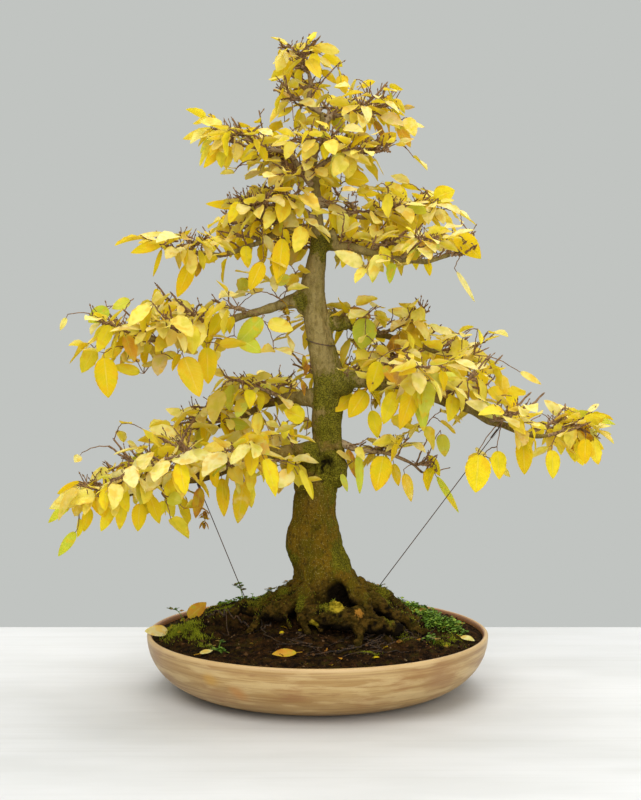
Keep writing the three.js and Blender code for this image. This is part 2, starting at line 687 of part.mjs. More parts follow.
function growLeaves(twig, draws, clear, taken) {
  const spots = twig.tip ? TIP_SPOTS : TWIG_SPOTS;
  const number = twigs.indexOf(twig);
  spots.forEach((t, j) => {
    const end = j === spots.length - 1;
    const side = end ? 0 : (j + number) % 2 ? 1 : -1;
    const turn = side * draws.between(0.5, 1.3) + draws.between(-0.35, 0.35);
    const heading = turned(level(slope(twig.curve, t)), turn);
    const droop = -0.15 + 1.5 * draws.between(0, 1);
    const roll = draws.between(-0.8, 0.8);
    const length = twig.bough.limb.leaf * (0.72 + 0.5 * draws.between(0, 1) ** 1.5);
    const width = length * draws.between(0.27, 0.335);
    const bend = draws.between(-0.02, 0.2);
    const fold = draws.between(0.05, 0.45);
    draws.between(0, 1);
    const stalk = draws.between(3, 6);
    const kept = draws.between(0, 1) <= LEAVES_KEPT;
    const rank = draws.between(0, 1);
    if (!kept) return;
    const ahead = heading.clone().multiplyScalar(Math.cos(droop)).addScaledVector(UP, -Math.sin(droop));
    const top = heading.clone().multiplyScalar(Math.sin(droop)).addScaledVector(UP, Math.cos(droop));
    const beside = top.clone().cross(ahead);
    const facing = top.multiplyScalar(Math.cos(roll)).addScaledVector(beside, Math.sin(roll));
    const from = twig.curve.getPoint(t);
    const base = from.clone().addScaledVector(ahead, stalk);
    const leaf = { twig, at: t, end, base, ahead, facing, length, width, bend, fold, rank };
    const samples = samplesOf(leaf);
    const free = samples.every(
      (p) => clear(p, LEAF_CLEARANCE) && taken.every((q) => q.distanceToSquared(p) >= LEAF_SPACING ** 2),
    );
    if (!free) return;
    taken.push(...samples);
    leaves.push(leaf);
  });
}

grow();

// Bowl and soil

const OUTER_ROWS = [0, 4, 14, 32];
const INNER_ROWS = [53, 32, 14, 6];
const outerRadius = (z) => bowlCurve(z / BOWL_HEIGHT, FOOT_HALF_LENGTH, RIM_HALF_LENGTH);
const innerRadius = (z) =>
  bowlCurve((z - BOWL_FLOOR) / (BOWL_HEIGHT - BOWL_FLOOR), FOOT_HALF_LENGTH - 4, RIM_HALF_LENGTH - BOWL_WALL);

// A wall that leaves the foot almost level and reaches the rim upright
function bowlCurve(share, foot, rim) {
  return foot + (rim - foot) * Math.sqrt(Math.max(0, 1 - (1 - share) ** BOWL_ROUNDNESS));
}

// A profile of radius and height turned into an oval solid
function oval(profile) {
  const shape = new THREE.LatheGeometry(profile.map(([r, z]) => new THREE.Vector2(r, z)), BOWL_SIDES);
  return shape.rotateX(Math.PI / 2).scale(1, RIM_HALF_DEPTH / RIM_HALF_LENGTH, 1);
}

function bowl() {
  const rim = RIM_HALF_LENGTH;
  const inside = rim - BOWL_WALL + 0.3;
  const body = solid(
    oval([
      [0, 0],
      ...OUTER_ROWS.map((z) => [outerRadius(z), z]),
      [rim, BOWL_HEIGHT - LIP],
      [rim - 1.2, BOWL_HEIGHT],
      [inside + 0.9, BOWL_HEIGHT],
      [inside, BOWL_HEIGHT - LIP],
      ...INNER_ROWS.map((z) => [innerRadius(z), z]),
      [0, BOWL_FLOOR],
    ]),
  );
  const hole = new THREE.CylinderGeometry(DRAIN_RADIUS, DRAIN_RADIUS, 4 * BOWL_FLOOR, 12);
  hole.rotateX(Math.PI / 2);
  const left = solid(hole.clone().translate(-DRAIN_OFFSET, 0, 0));
  const right = solid(hole.clone().translate(DRAIN_OFFSET, 0, 0));
  return body.subtract(left).subtract(right);
}

// The mound's surface: full at the trunk, washed out in front of the roots, banked up at the left rim
function ground(x, y) {
  const q = Math.min(1, Math.hypot(x / (RIM_HALF_LENGTH - 6.5), y / (RIM_HALF_DEPTH - 6)));
  const front = THREE.MathUtils.smoothstep(-y, 8, 38) * Math.min(1, (1 - q) / 0.35);
  const bank = Math.exp(-(((x + 126) / 26) ** 2) - ((y + 36) / 26) ** 2) * Math.min(1, 8 * (1 - q));
  const lumps = 0.7 * Math.sin(0.11 * x + 1) * Math.sin(0.13 * y) * (1 - q);
  const mound = SOIL_EDGE + MOUND_HEIGHT * (1 - q ** 2.2) ** 1.1;
  return mound - FRONT_DROP * front + LEFT_BANK * bank + lumps;
}

const DRAIN_MESH = 26;
const MESH_THICK = 0.8;

function soilBody(fatWood) {
  const wall = INNER_ROWS.map((z) => [innerRadius(z) - GAP, z + GAP]).reverse();
  const surface = [0.9, 0.74, 0.58, 0.4, 0.22, 0].map((q) => [q * (RIM_HALF_LENGTH - 6.5), 1000]);
  const shape = reshape(oval([[0, BOWL_FLOOR + GAP], ...wall, ...surface]), (p) => {
    if (p.z > 500) p.z = ground(p.x, p.y);
  });
  let body = solid(shape);
  for (const side of [-1, 1]) {
    const pocket = new THREE.BoxGeometry(DRAIN_MESH + 2 * GAP, DRAIN_MESH + 2 * GAP, 2 * (MESH_THICK + GAP));
    body = body.subtract(solid(pocket.translate(side * DRAIN_OFFSET, 0, BOWL_FLOOR + GAP)));
  }
  for (const fat of fatWood) body = body.subtract(fat);
  return mainBody(body);
}

// A square of plastic mesh over a drain hole
function drainMesh(side) {
  const sheet = solid(new THREE.BoxGeometry(DRAIN_MESH, DRAIN_MESH, MESH_THICK));
  const open = DRAIN_MESH / 2 - 3;
  let body = sheet;
  for (const [i, j] of [[-1, -1], [-1, 1], [1, -1], [1, 1]]) {
    const hole = new THREE.BoxGeometry(open, open, 2);
    body = body.subtract(solid(hole.translate((i * (open + 2)) / 2, (j * (open + 2)) / 2, 0)));
  }
  return body.translate([side * DRAIN_OFFSET, 0, BOWL_FLOOR + GAP + MESH_THICK / 2]);
}

// Wires

function ringSolid({ middle, ring, heading }, margin = 0) {
  const shape = new THREE.TorusGeometry(ring, WIRE_RADIUS + margin, 5, 11);
  const turn = new THREE.Quaternion().setFromUnitVectors(UP, heading);
  return solid(shape.applyQuaternion(turn).translate(...middle.toArray()));
}

const TRUNK_WIRE = { middle: vector([3, -3, 350]), ring: 14.6, heading: vector([0.22, -0.1, 1]).normalize() };

const guySolid = (guy, margin = 0) => ringSolid(guy, margin).add(tube(guy.line, margin));

// Tree

function treeWood() {
  return {
    trunk: trunkRod,
    roots: ROOTS.map((root) => rod(root.path, root.radii, 5, root.path.length - 1)),
    limbs: LIMBS.filter((limb) => !limb.whole).map(limbRod),
    stubs: STUBS.map((stub) => rod(stub.path, stub.radii, 7, 1)),
  };
}

const wood = treeWood();
const WIRE_CUTS = [...guys.map((guy) => guySolid(guy, GAP)), ringSolid(TRUNK_WIRE, GAP)];

function tree() {
  const tubes = [wood.trunk, ...wood.roots, ...wood.limbs, ...wood.stubs].map((each) => tube(each));
  const whole = joined([...tubes, ...BURRS.map((burr) => ball(burr))]);
  return mainBody(WIRE_CUTS.reduce((body, cut) => body.subtract(cut), whole));
}

// Everything in the crown that a spray has to keep clear of, swollen by the clearance
const crownWood = [
  tube(wood.trunk, GAP),
  ...wood.limbs.map((each) => tube(each, GAP)),
  ...wood.stubs.map((each) => tube(each, GAP)),
  ...BURRS.map((burr) => ball(burr, GAP)),
];

// Sprays: each is one body, a bough (or a slim limb with its boughs) with twigs and leaves

// A point on the straight run between neighbouring points of a path
function onPath(points, t) {
  const at = t * (points.length - 1);
  const i = Math.min(Math.floor(at), points.length - 2);
  return points[i].clone().lerp(points[i + 1], at - i);
}

// A bough's or a twig's path in three points, the first on the middle of the wood it grows from
function pathOf(shoot) {
  if (!shoot.path) {
    const limb = shoot.limb?.path.map(vector);
    const bearer = shoot.limb ? limb : pathOf(shoot.parent ?? shoot.bough);
    shoot.path = [onPath(bearer, shoot.at), ...shoot.points.slice(-2)];
  }
  return shoot.path;
}

const boughRadii = (bough) => radiusBetween([bough.root, 0.9]);
const twigRadii = radiusBetween([0.9, 0.6]);

const sprays = LIMBS.flatMap((limb) => {
  const own = boughs.filter((bough) => bough.limb === limb);
  if (limb.whole) return [{ name: `spray_${limb.name}`, limb, boughs: own }];
  return own.map((bough) => ({ name: `spray_${limb.name}_${bough.number}`, boughs: [bough] }));
});

// What already stands in the crown: a solid, its box and the spray that owns it
const standing = WIRE_CUTS.map((cut) => ({ owner: null, whole: cut, box: cut.boundingBox() }));
const stand = (owner, whole) => standing.push({ owner, whole, box: whole.boundingBox() });

const overlap = (a, b) => [0, 1, 2].every((i) => a.min[i] < b.max[i] && b.min[i] < a.max[i]);

const touches = (other, whole, box) => overlap(other.box, box) && !other.whole.intersect(whole).isEmpty();

function meetsAny(fat, owner) {
  const box = fat.boundingBox();
  return standing.some((other) => other.owner !== owner && touches(other, fat, box));
}

// Whether a piece passes through more of its own spray than what it grows from
function tangles(whole, owner) {
  const box = whole.boundingBox();
  return standing.filter((other) => other.owner === owner && touches(other, whole, box)).length > 1;
}

const crownBoxes = crownWood.map((whole) => whole.boundingBox());

function meetsWood(whole) {
  const box = whole.boundingBox();
  return crownWood.some((each, i) => overlap(crownBoxes[i], box) && !each.intersect(whole).isEmpty());
}

// Where a chosen leaf may hang: near first, and where its stem leaves the bough at a wide angle
function spotsFor(spray, leaf) {
  const spots = [];
  for (const bough of spray.boughs) {
    for (const t of [0.95, 0.85, 0.75, 0.6, 0.5, 0.4, 0.25]) {
      const at = onPath(pathOf(bough), t);
      const stem = leaf.base.clone().sub(at);
      const along = Math.abs(slope(bough.curve, t).normalize().dot(stem.clone().normalize()));
      spots.push({ at, cost: stem.length() * (1 + 1.5 * along ** 2) });
    }
  }
  return spots.sort((a, b) => a.cost - b.cost).slice(0, 12);
}

// The ways a leaf can be held: each is a list of pieces, as functions of the clearance
function holdings(spray, leaf) {
  const { twig } = leaf;
  if (twig.chosen) {
    const held = (at) => (margin) => stemWithLeaf([at, leaf.base], twigRadii, leaf, margin);
    return spotsFor(spray, leaf).map(({ at }) => [held(at)]);
  }
  const from = onPath(pathOf(twig.tip ? twig.bough : twig), twig.tip ? (leaf.at + 1) / 2 : leaf.at);
  if (twig.tip || spray.twigs.has(twig)) return [[(margin) => blade(leaf, from, margin)]];
  if (twig.parent && !spray.twigs.has(twig.parent)) return [];
  if (leaf.end) return [[(margin) => stemWithLeaf(pathOf(twig), twigRadii, leaf, margin)]];
  return [[(margin) => bareStem(pathOf(twig), twigRadii, margin), (margin) => blade(leaf, from, margin)]];
}

function isClear(spray, piece) {
  return !meetsWood(piece(0)) && !tangles(piece(0), spray) && !meetsAny(piece(GAP), spray);
}

function place(spray, piece) {
  const whole = piece(0);
  spray.parts.push(whole);
  stand(spray, whole);
}

// A bough with the leaf at its tip, or bare where that leaf would touch something
function addBough(spray, bough) {
  const points = pathOf(bough);
  const leaf = spray.leaves.find((each) => each.twig.tip && each.twig.bough === bough && each.end);
  const leafy = (margin) => stemWithLeaf(points, boughRadii(bough), leaf, margin);
  const bare = (margin) => bareStem(points, boughRadii(bough), margin);
  const withLeaf = leaf && !meetsAny(leafy(GAP), spray) && !meetsWood(blade(leaf, leaf.base));
  place(spray, withLeaf ? leafy : bare);
  if (!withLeaf) return;
  leaf.shown = true;
  spray.shown += 1;
}

// Adds a leaf, with its twig if need be, where it is clear of the wood and of the other sprays
function addLeaf(spray, leaf) {
  const pieces = holdings(spray, leaf).find((ways) => ways.every((piece) => isClear(spray, piece)));
  if (!pieces) return;
  spray.twigs.add(leaf.twig);
  pieces.forEach((piece) => place(spray, piece));
  leaf.shown = true;
  spray.shown += 1;
}

// Chosen leaves come first, then those that reach furthest one way or another, then outer before inner
function orderLeaves() {
  const tipOf = (leaf) => bladePoint(leaf, 1, 0);
  const tips = leaves.map(tipOf);
  for (const way of waysAround()) {
    const reach = tips.map((tip) => tip.dot(way));
    leaves[reach.indexOf(Math.max(...reach))].outermost = true;
  }
  for (const leaf of leaves) {
    const outer = tipOf(leaf).distanceTo(leaf.twig.bough.points[0]) / leaf.twig.bough.limb.reach;
    leaf.turn = leaf.twig.chosen && leaf.length > LONG_LEAF ? 0 : leaf.outermost ? 1 : 2;
    leaf.order = leaf.rank - 0.6 * outer - (leaf.end ? 0.3 : 0);
  }
}

// The 26 directions to the faces, edges and corners of a cube
function waysAround() {
  const signs = [-1, 0, 1];
  const ways = signs.flatMap((x) => signs.flatMap((y) => signs.map((z) => vector([x, y, z]))));
  return ways.filter((way) => way.length() > 0).map((way) => way.normalize());
}

function fillSprays() {
  for (const spray of sprays) {
    spray.parts = [];
    spray.twigs = new Set();
    spray.shown = 0;
    spray.leaves = leaves.filter((leaf) => spray.boughs.includes(leaf.twig.bough));
    if (!spray.limb) continue;
    const { path, radii } = spray.limb;
    place(spray, (margin) => bareStem(path.map(vector), radiusBetween(radii), margin));
  }
  for (const spray of sprays) spray.boughs.forEach((bough) => addBough(spray, bough));
  orderLeaves();
  for (const turn of [0, 1, 2]) {
    for (const spray of sprays) {
      const wanted = turn < 2 ? Infinity : Math.round(SHOWN_SHARE * spray.leaves.length);
      const waiting = spray.leaves.filter((leaf) => leaf.turn === turn && !leaf.shown);
      for (const leaf of waiting.sort((a, b) => a.order - b.order)) {
        if (spray.shown < wanted) addLeaf(spray, leaf);
      }
    }
  }
}

fillSprays();

function spraySolid(spray) {
  let body = joined(spray.parts);
  for (const cut of [...crownWood, ...WIRE_CUTS]) {
    const box = cut.boundingBox();
    if (overlap(box, body.boundingBox())) body = body.subtract(cut);
  }
  return mainBody(body);
}

// Weeds and fallen leaves

const onGround = (x, y, lift) => vector([x, y, ground(x, y) + lift]);

function smallLeaf(base, tip, halfWidth, facing, bend, fold) {
  const run = tip.clone().sub(base);
  const ahead = run.clone().normalize();
  const front = facing.clone().addScaledVector(ahead, -facing.dot(ahead)).normalize();
  return { base, ahead, facing: front, length: run.length(), width: halfWidth, bend, fold };
}

const WEEDS = [
  { name: "weed_sprig_left", foot: [-75, 18], top: [-83, 18, 102], leaflets: 3 },
  { name: "weed_sprig_middle", foot: [-66, 20], top: [-49, 22, 96], leaflets: 2 },
  { name: "weed_sprig_edge", foot: [-134, 10], top: [-148, 8, 77], leaflets: 2 },
];

function weed({ foot, top, leaflets }) {
  const start = onGround(...foot, -7);
  const end = vector(top);
  const middle = start.clone().lerp(end, 0.6).add(vector([2, 0, 3]));
  const stem = { curve: curveOf([start, middle, end]), radiusAt: () => 0.65, sides: 3, steps: 2 };
  const parts = [tube(stem)];
  for (let k = 0; k < leaflets; k++) {
    const at = onPath([start, middle, end], 0.5 + (0.48 * (k + 1)) / leaflets);
    const out = new THREE.Vector3(Math.cos(2.4 * k), Math.sin(2.4 * k), 0.25);
    parts.push(blade(smallLeaf(at, at.clone().addScaledVector(out, 6.5), 2.2, UP, 0.1, 0.2), at));
  }
  return { body: joined(parts), cut: tube(stem, GAP) };
}

const FALLEN = [
  { name: "fallen_leaf_amber", base: [-128, 0], tip: [-108, 12], halfWidth: 7 },
  { name: "fallen_leaf_rim", base: [-150, -18, 59.5], tip: [-174, -22, 57.5], halfWidth: 7 },
  { name: "fallen_leaf_orange", base: [-44, -104], tip: [-19, -97], halfWidth: 7.5 },
  { name: "fallen_leaf_front", base: [-112, -92], tip: [-93, -84], halfWidth: 7 },
  { name: "fallen_leaf_pale", base: [141, -30], tip: [156, -44], halfWidth: 6.5 },
];

// Lowered onto the soil and the bowl's lip until it would touch one of them
function fallenLeaf({ base, tip, halfWidth }, below) {
  const place = ([x, y, z], lift) => (z === undefined ? onGround(x, y, lift) : vector([x, y, z + lift]));
  for (let lift = 0; ; lift += 0.15) {
    const leaf = smallLeaf(place(base, lift), place(tip, lift), halfWidth, UP, -0.03, 0.12);
    const fat = blade(leaf, leaf.base, GAP);
    if (below.every((body) => body.intersect(fat).isEmpty())) return blade(leaf, leaf.base);
  }
}

// Putting it together

const group = new THREE.Group();
group.name = "hornbeam_bonsai";

const PAINTS = {
  glaze: new THREE.MeshStandardMaterial({ name: "glaze", color: 0xae8950, roughness: 0.4 }),
  soil: new THREE.MeshStandardMaterial({ name: "soil", color: 0x3a2a1a, roughness: 1 }),
  bark: new THREE.MeshStandardMaterial({ name: "bark", color: 0x6f5e3c, roughness: 0.9 }),
  autumn: new THREE.MeshStandardMaterial({ name: "autumn", color: 0xe0b030, roughness: 0.7 }),
  weed: new THREE.MeshStandardMaterial({ name: "weed", color: 0x5c8a35, roughness: 0.7 }),
  wire: new THREE.MeshStandardMaterial({ name: "wire", color: 0x4a3a2c, roughness: 0.6, metalness: 0.6 }),
  mesh: new THREE.MeshStandardMaterial({ name: "mesh", color: 0x20241f, roughness: 0.7 }),
};

function add(name, body, paint) {
  const { vertProperties, triVerts } = body.getMesh();
  const geometry = new THREE.BufferGeometry();
  geometry.setAttribute("position", new THREE.BufferAttribute(vertProperties, 3));
  geometry.setIndex(new THREE.BufferAttribute(triVerts, 1));
  const mesh = new THREE.Mesh(geometry, PAINTS[paint]);
  mesh.name = name;
  group.add(mesh);
}

const weeds = WEEDS.map((row) => ({ name: row.name, ...weed(row) }));
const buried = [wood.trunk, ...wood.roots].map((each) => tube(each, GAP));

const pot = bowl();
const soil = soilBody([...buried, ...weeds.map((each) => each.cut)]);
const timber = tree();

add("pot", pot, "glaze");
add("soil", soil, "soil");
add("tree", timber, "bark");
for (const guy of guys) add(guy.name, guySolid(guy), "wire");
add("trunk_wire", ringSolid(TRUNK_WIRE), "wire");
for (const each of weeds) add(each.name, each.body, "weed");
for (const row of FALLEN) add(row.name, fallenLeaf(row, [pot, soil, timber]), "autumn");
add("drain_mesh_left", drainMesh(-1), "mesh");
add("drain_mesh_right", drainMesh(1), "mesh");
for (const spray of sprays) add(spray.name, spraySolid(spray), "autumn");

export default group;
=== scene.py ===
import math

import bpy
import numpy as np
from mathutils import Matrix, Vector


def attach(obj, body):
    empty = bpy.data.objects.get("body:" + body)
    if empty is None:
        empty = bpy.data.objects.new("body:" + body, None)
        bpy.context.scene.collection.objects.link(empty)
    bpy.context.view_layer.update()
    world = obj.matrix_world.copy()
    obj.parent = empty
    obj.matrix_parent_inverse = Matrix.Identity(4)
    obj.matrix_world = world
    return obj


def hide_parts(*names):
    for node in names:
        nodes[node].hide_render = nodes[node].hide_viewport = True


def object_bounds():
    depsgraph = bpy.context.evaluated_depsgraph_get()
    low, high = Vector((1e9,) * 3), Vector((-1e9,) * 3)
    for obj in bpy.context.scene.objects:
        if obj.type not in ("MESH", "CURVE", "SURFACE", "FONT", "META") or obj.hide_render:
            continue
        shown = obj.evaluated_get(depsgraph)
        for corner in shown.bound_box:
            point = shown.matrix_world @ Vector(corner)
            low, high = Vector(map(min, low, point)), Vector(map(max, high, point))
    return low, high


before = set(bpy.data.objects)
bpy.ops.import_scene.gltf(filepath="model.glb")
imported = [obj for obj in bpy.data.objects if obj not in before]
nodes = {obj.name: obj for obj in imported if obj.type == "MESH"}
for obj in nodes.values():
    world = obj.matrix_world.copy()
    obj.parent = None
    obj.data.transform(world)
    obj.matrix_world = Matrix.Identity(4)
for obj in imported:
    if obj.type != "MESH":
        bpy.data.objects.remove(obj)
cad_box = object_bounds()

# A hornbeam bonsai in autumn leaf, in an oval bowl. Shapes are worked out in millimetres, +Z up, +Y to the
# back, and set_mesh turns them to metres.

MM = 0.001
UP = np.array([0.0, 0.0, 1.0])
BACK = np.array([0.0, 1.0, 0.0])
BOX_LOW, BOX_HIGH = (np.array(corner) / MM for corner in cad_box)
# From one leaflet to the next around a stem, about 137 degrees
GOLDEN_TURN = 2.4
scene = bpy.context.scene

# Bowl and soil
RIM_HALF_LENGTH = 172.5
RIM_HALF_DEPTH = 158
BOWL_HEIGHT = 58
BOWL_WALL = 5
BOWL_FLOOR = 6
FOOT_HALF_LENGTH = 105
FOOT_WALL = 4
BOWL_ROUNDNESS = 2.2
OUTER_TOP = 55.5
INNER_TOP = 54
LIP_RADIUS = 2.45
LIP_MIDDLE = RIM_HALF_LENGTH - LIP_RADIUS
LIP_HEIGHT = 55.6
LIP_RISE = 2.4
DRAIN_OFFSET = 60
DRAIN_RADIUS = 9
SOIL_HALF_LENGTH = RIM_HALF_LENGTH - 6.5
SOIL_HALF_DEPTH = RIM_HALF_DEPTH - 6
SOIL_EDGE = 53
MOUND_HEIGHT = 36
FRONT_DROP = 17
LEFT_BANK = 10

# The photograph's camera: its place in millimetres, then the picture's lens, height, middle and horizon in
# pixels
CAMERA_SIDE = 3
CAMERA_DISTANCE = 1500
CAMERA_HEIGHT = 408.2
LENS_PIXELS = 1500
PICTURE_HEIGHT = 800
PICTURE_MIDDLE = (320.5, 400)
HORIZON_PIXEL = 283.7
PITCH = math.atan((PICTURE_MIDDLE[1] - HORIZON_PIXEL) / LENS_PIXELS)
SENSOR = 36
# How far behind its tip the stalk end of a chosen leaf is
STALK_BEHIND_TIP = 6


def seen_at(*marks):
    """Places, to a whole millimetre, of marks read off the photograph: pixel across, pixel down and the depth
    chosen for each. The ray through a pixel is cut at that depth."""
    across, down, depth = np.array(marks, float).T
    up = (PICTURE_MIDDLE[1] - down) / LENS_PIXELS
    away = CAMERA_DISTANCE + depth
    climb = away * (up * math.cos(PITCH) - math.sin(PITCH)) / (math.cos(PITCH) + up * math.sin(PITCH))
    ahead = away * math.cos(PITCH) - climb * math.sin(PITCH)
    side = (across - PICTURE_MIDDLE[0]) / LENS_PIXELS * ahead
    return np.round(np.column_stack([CAMERA_SIDE + side, depth, CAMERA_HEIGHT + climb]))


# The trunk's centre line from the root base to the top, in millimetres or as marks on the photograph, and
# the radius at each of its points
TRUNK_LINE = np.array([
    (7, 2, 44), (7, 1, 68), (7, 0, 90),
    *seen_at((324, 584, 0), (321, 567, 0), (317, 553, 1), (314.5, 537, 2), (314.2, 526, 3)),
    (-3, 4, 178), (-1, 5, 197), (4, 7, 217), (10, 8, 232), *seen_at((327.7, 438, 8), (326, 423, 7)),
    (11, 4, 294), (10, 1, 314), (5, -2, 338), (0, -4, 366), *seen_at((313.2, 298, -3)),
    (-4, -1, 412), (-1, 1, 428), (1, 3, 447), *seen_at((317, 220, 4), (316, 200, 3), (314, 180, 0)),
    (-4, -4, 534), *seen_at((324, 141, -4)), (5, -4, 564), *seen_at((322, 112, -5)),
])
TRUNK_RADII = (
    18, 34, 34, 31, 27.5, 25.5, 27, 25.5, 21.5, 20, 18.5, 16.5, 14.2, 15, 16, 15, 13.5, 12.8, 12.2, 11.5,
    10, 7.5, 6, 5, 4.5, 3.6, 3, 2.8, 2.6,
)

# Surface roots: centre line and the radius at each of its points
ROOTS = [
    ([(-6, -4, 102), (-30, -8, 91), (-54, -11, 83), (-72, -9, 80.5), (-90, -12, 75), (-110, -12, 69),
      (-128, -8, 61)], (17, 12.5, 9, 8.4, 6.5, 6.5, 4.5)),
    ([(-14, -14, 98), (-30, -26, 90), (-42, -32, 84), (-54, -30, 78)], (13, 11, 8.5, 5.5)),
    ([(-12, -20, 101), (-8, -38, 89), (8, -52, 84), (26, -60, 82), (42, -62, 83)], (12, 11.5, 11, 10.5, 10)),
    ([(36, -60, 83), (54, -57, 77), (68, -54, 66)], (9.5, 8, 5)),
    ([(19, -14, 120), (31, -28, 111), (39, -38, 103), (47, -46, 94), (54, -52, 80)], (11, 9, 8, 7, 5)),
    ([(18, 0, 100), (46, 2, 94), (66, 3, 90.5), (79, -1, 81), (92, -8, 71), (104, -15, 64), (114, -24, 56)],
     (17, 11.5, 10, 8, 6.5, 5.5, 4)),
    ([(30, -16, 97), (54, -21, 92), (72, -25, 83), (90, -27, 72), (106, -31, 60)], (11, 8, 6.5, 5.5, 4)),
    ([(-17, -42, 88), (-12, -54, 76), (-6, -68, 58)], (5, 3.4, 2.4)),
    ([(36, -64, 80), (39, -75, 68), (36, -88, 52)], (5.5, 4, 2.6)),
    ([(0, 18, 92), (-32, 52, 82), (-62, 84, 66)], (15, 10, 5)),
    ([(20, 18, 92), (50, 50, 82), (82, 76, 64)], (14, 9, 5)),
    ([(6, 20, 94), (8, 66, 82), (10, 106, 64)], (12, 8, 4)),
    ([(-32, -38, 84), (-30, -43, 77), (-26, -47, 68)], (2.4, 1.8, 1.4)),
    ([(-12, -42, 86), (-4, -52, 77), (4, -60, 68)], (4, 3.2, 2.2)),
    ([(38, -76, 66), (40, -84, 60), (41, -90, 53)], (2.2, 1.8, 1.4)),
    ([(-44, -14, 88), (-58, -30, 78), (-66, -44, 68), (-80, -56, 58)], (5, 3.8, 2.8, 1.8)),
    ([(62, 0, 88), (80, -14, 76), (92, -30, 66), (100, -46, 57)], (5, 4, 3, 2)),
    ([(-70, -6, 80), (-88, 10, 74), (-104, 26, 66)], (5, 3.4, 2)),
]

# Knots and swellings: centre and half sizes
BURRS = [
    ((-22, -4, 150), (9.5, 15, 24)), ((19, -2, 221), (10, 12, 18)), ((55, -62, 78), (15, 9, 9)),
    ((74, -58, 73), (13, 9, 7)), ((15, -6, 234), (11, 13, 12)), ((14, -6, 452), (6, 7, 10)),
    ((-15, 0, 388), (7, 8, 10)), ((15, -3, 372), (6, 7, 8)), ((24, 2, 306), (8, 8, 9)),
    ((19, -57, 93), (5.5, 4.5, 7)), ((-21, 2, 226), (6, 8, 10)),
]

# Hollows: centre, radius, depth
HOLLOWS = [
    ((11, -13, 231), 5.5, 8), ((9, -12, 451), 5, 2.5), ((-18, -10, 214), 5, 3), ((-2, -26, 166), 7, 1.6),
    ((20, -30, 100), 10.5, 9), ((-18, -20, 392), 3.5, 2), ((32, -24, 92), 9, 4), ((31, -17, 379), 6, 3),
    ((-19, -14, 352), 5, 1.5),
]
# Raised rims round the knot holes: centre, radius and height
RIMS = [((11, -13, 231), 10, 2.6), ((9, -12, 451), 8, 1.2), ((-18, -10, 214), 8, 1.2)]

# Cut stubs: centre line, radii at root and cut
STUBS = [
    ([(-8, -2, 204), (-20, -8, 209)], (9, 7.5)),
    ([(18, 2, 366), (31, -4, 371)], (8, 6)),
    ([*seen_at((180, 480, -62)), (-146, -78, 206)], (5.5, 4.6)),
]


def limb(name, seed, whole, path, radii, boughs, first, reach, rise, leaf):
    """One limb. first: where along it the first bough grows, reach: bough length, rise: its climb a
    millimetre, leaf: the shortest common leaf times 1.4."""
    return dict(name=name, seed=seed, whole=whole, path=np.array(path, float), radii=radii, boughs=boughs,
                first=first, reach=reach, rise=rise, leaf=leaf)


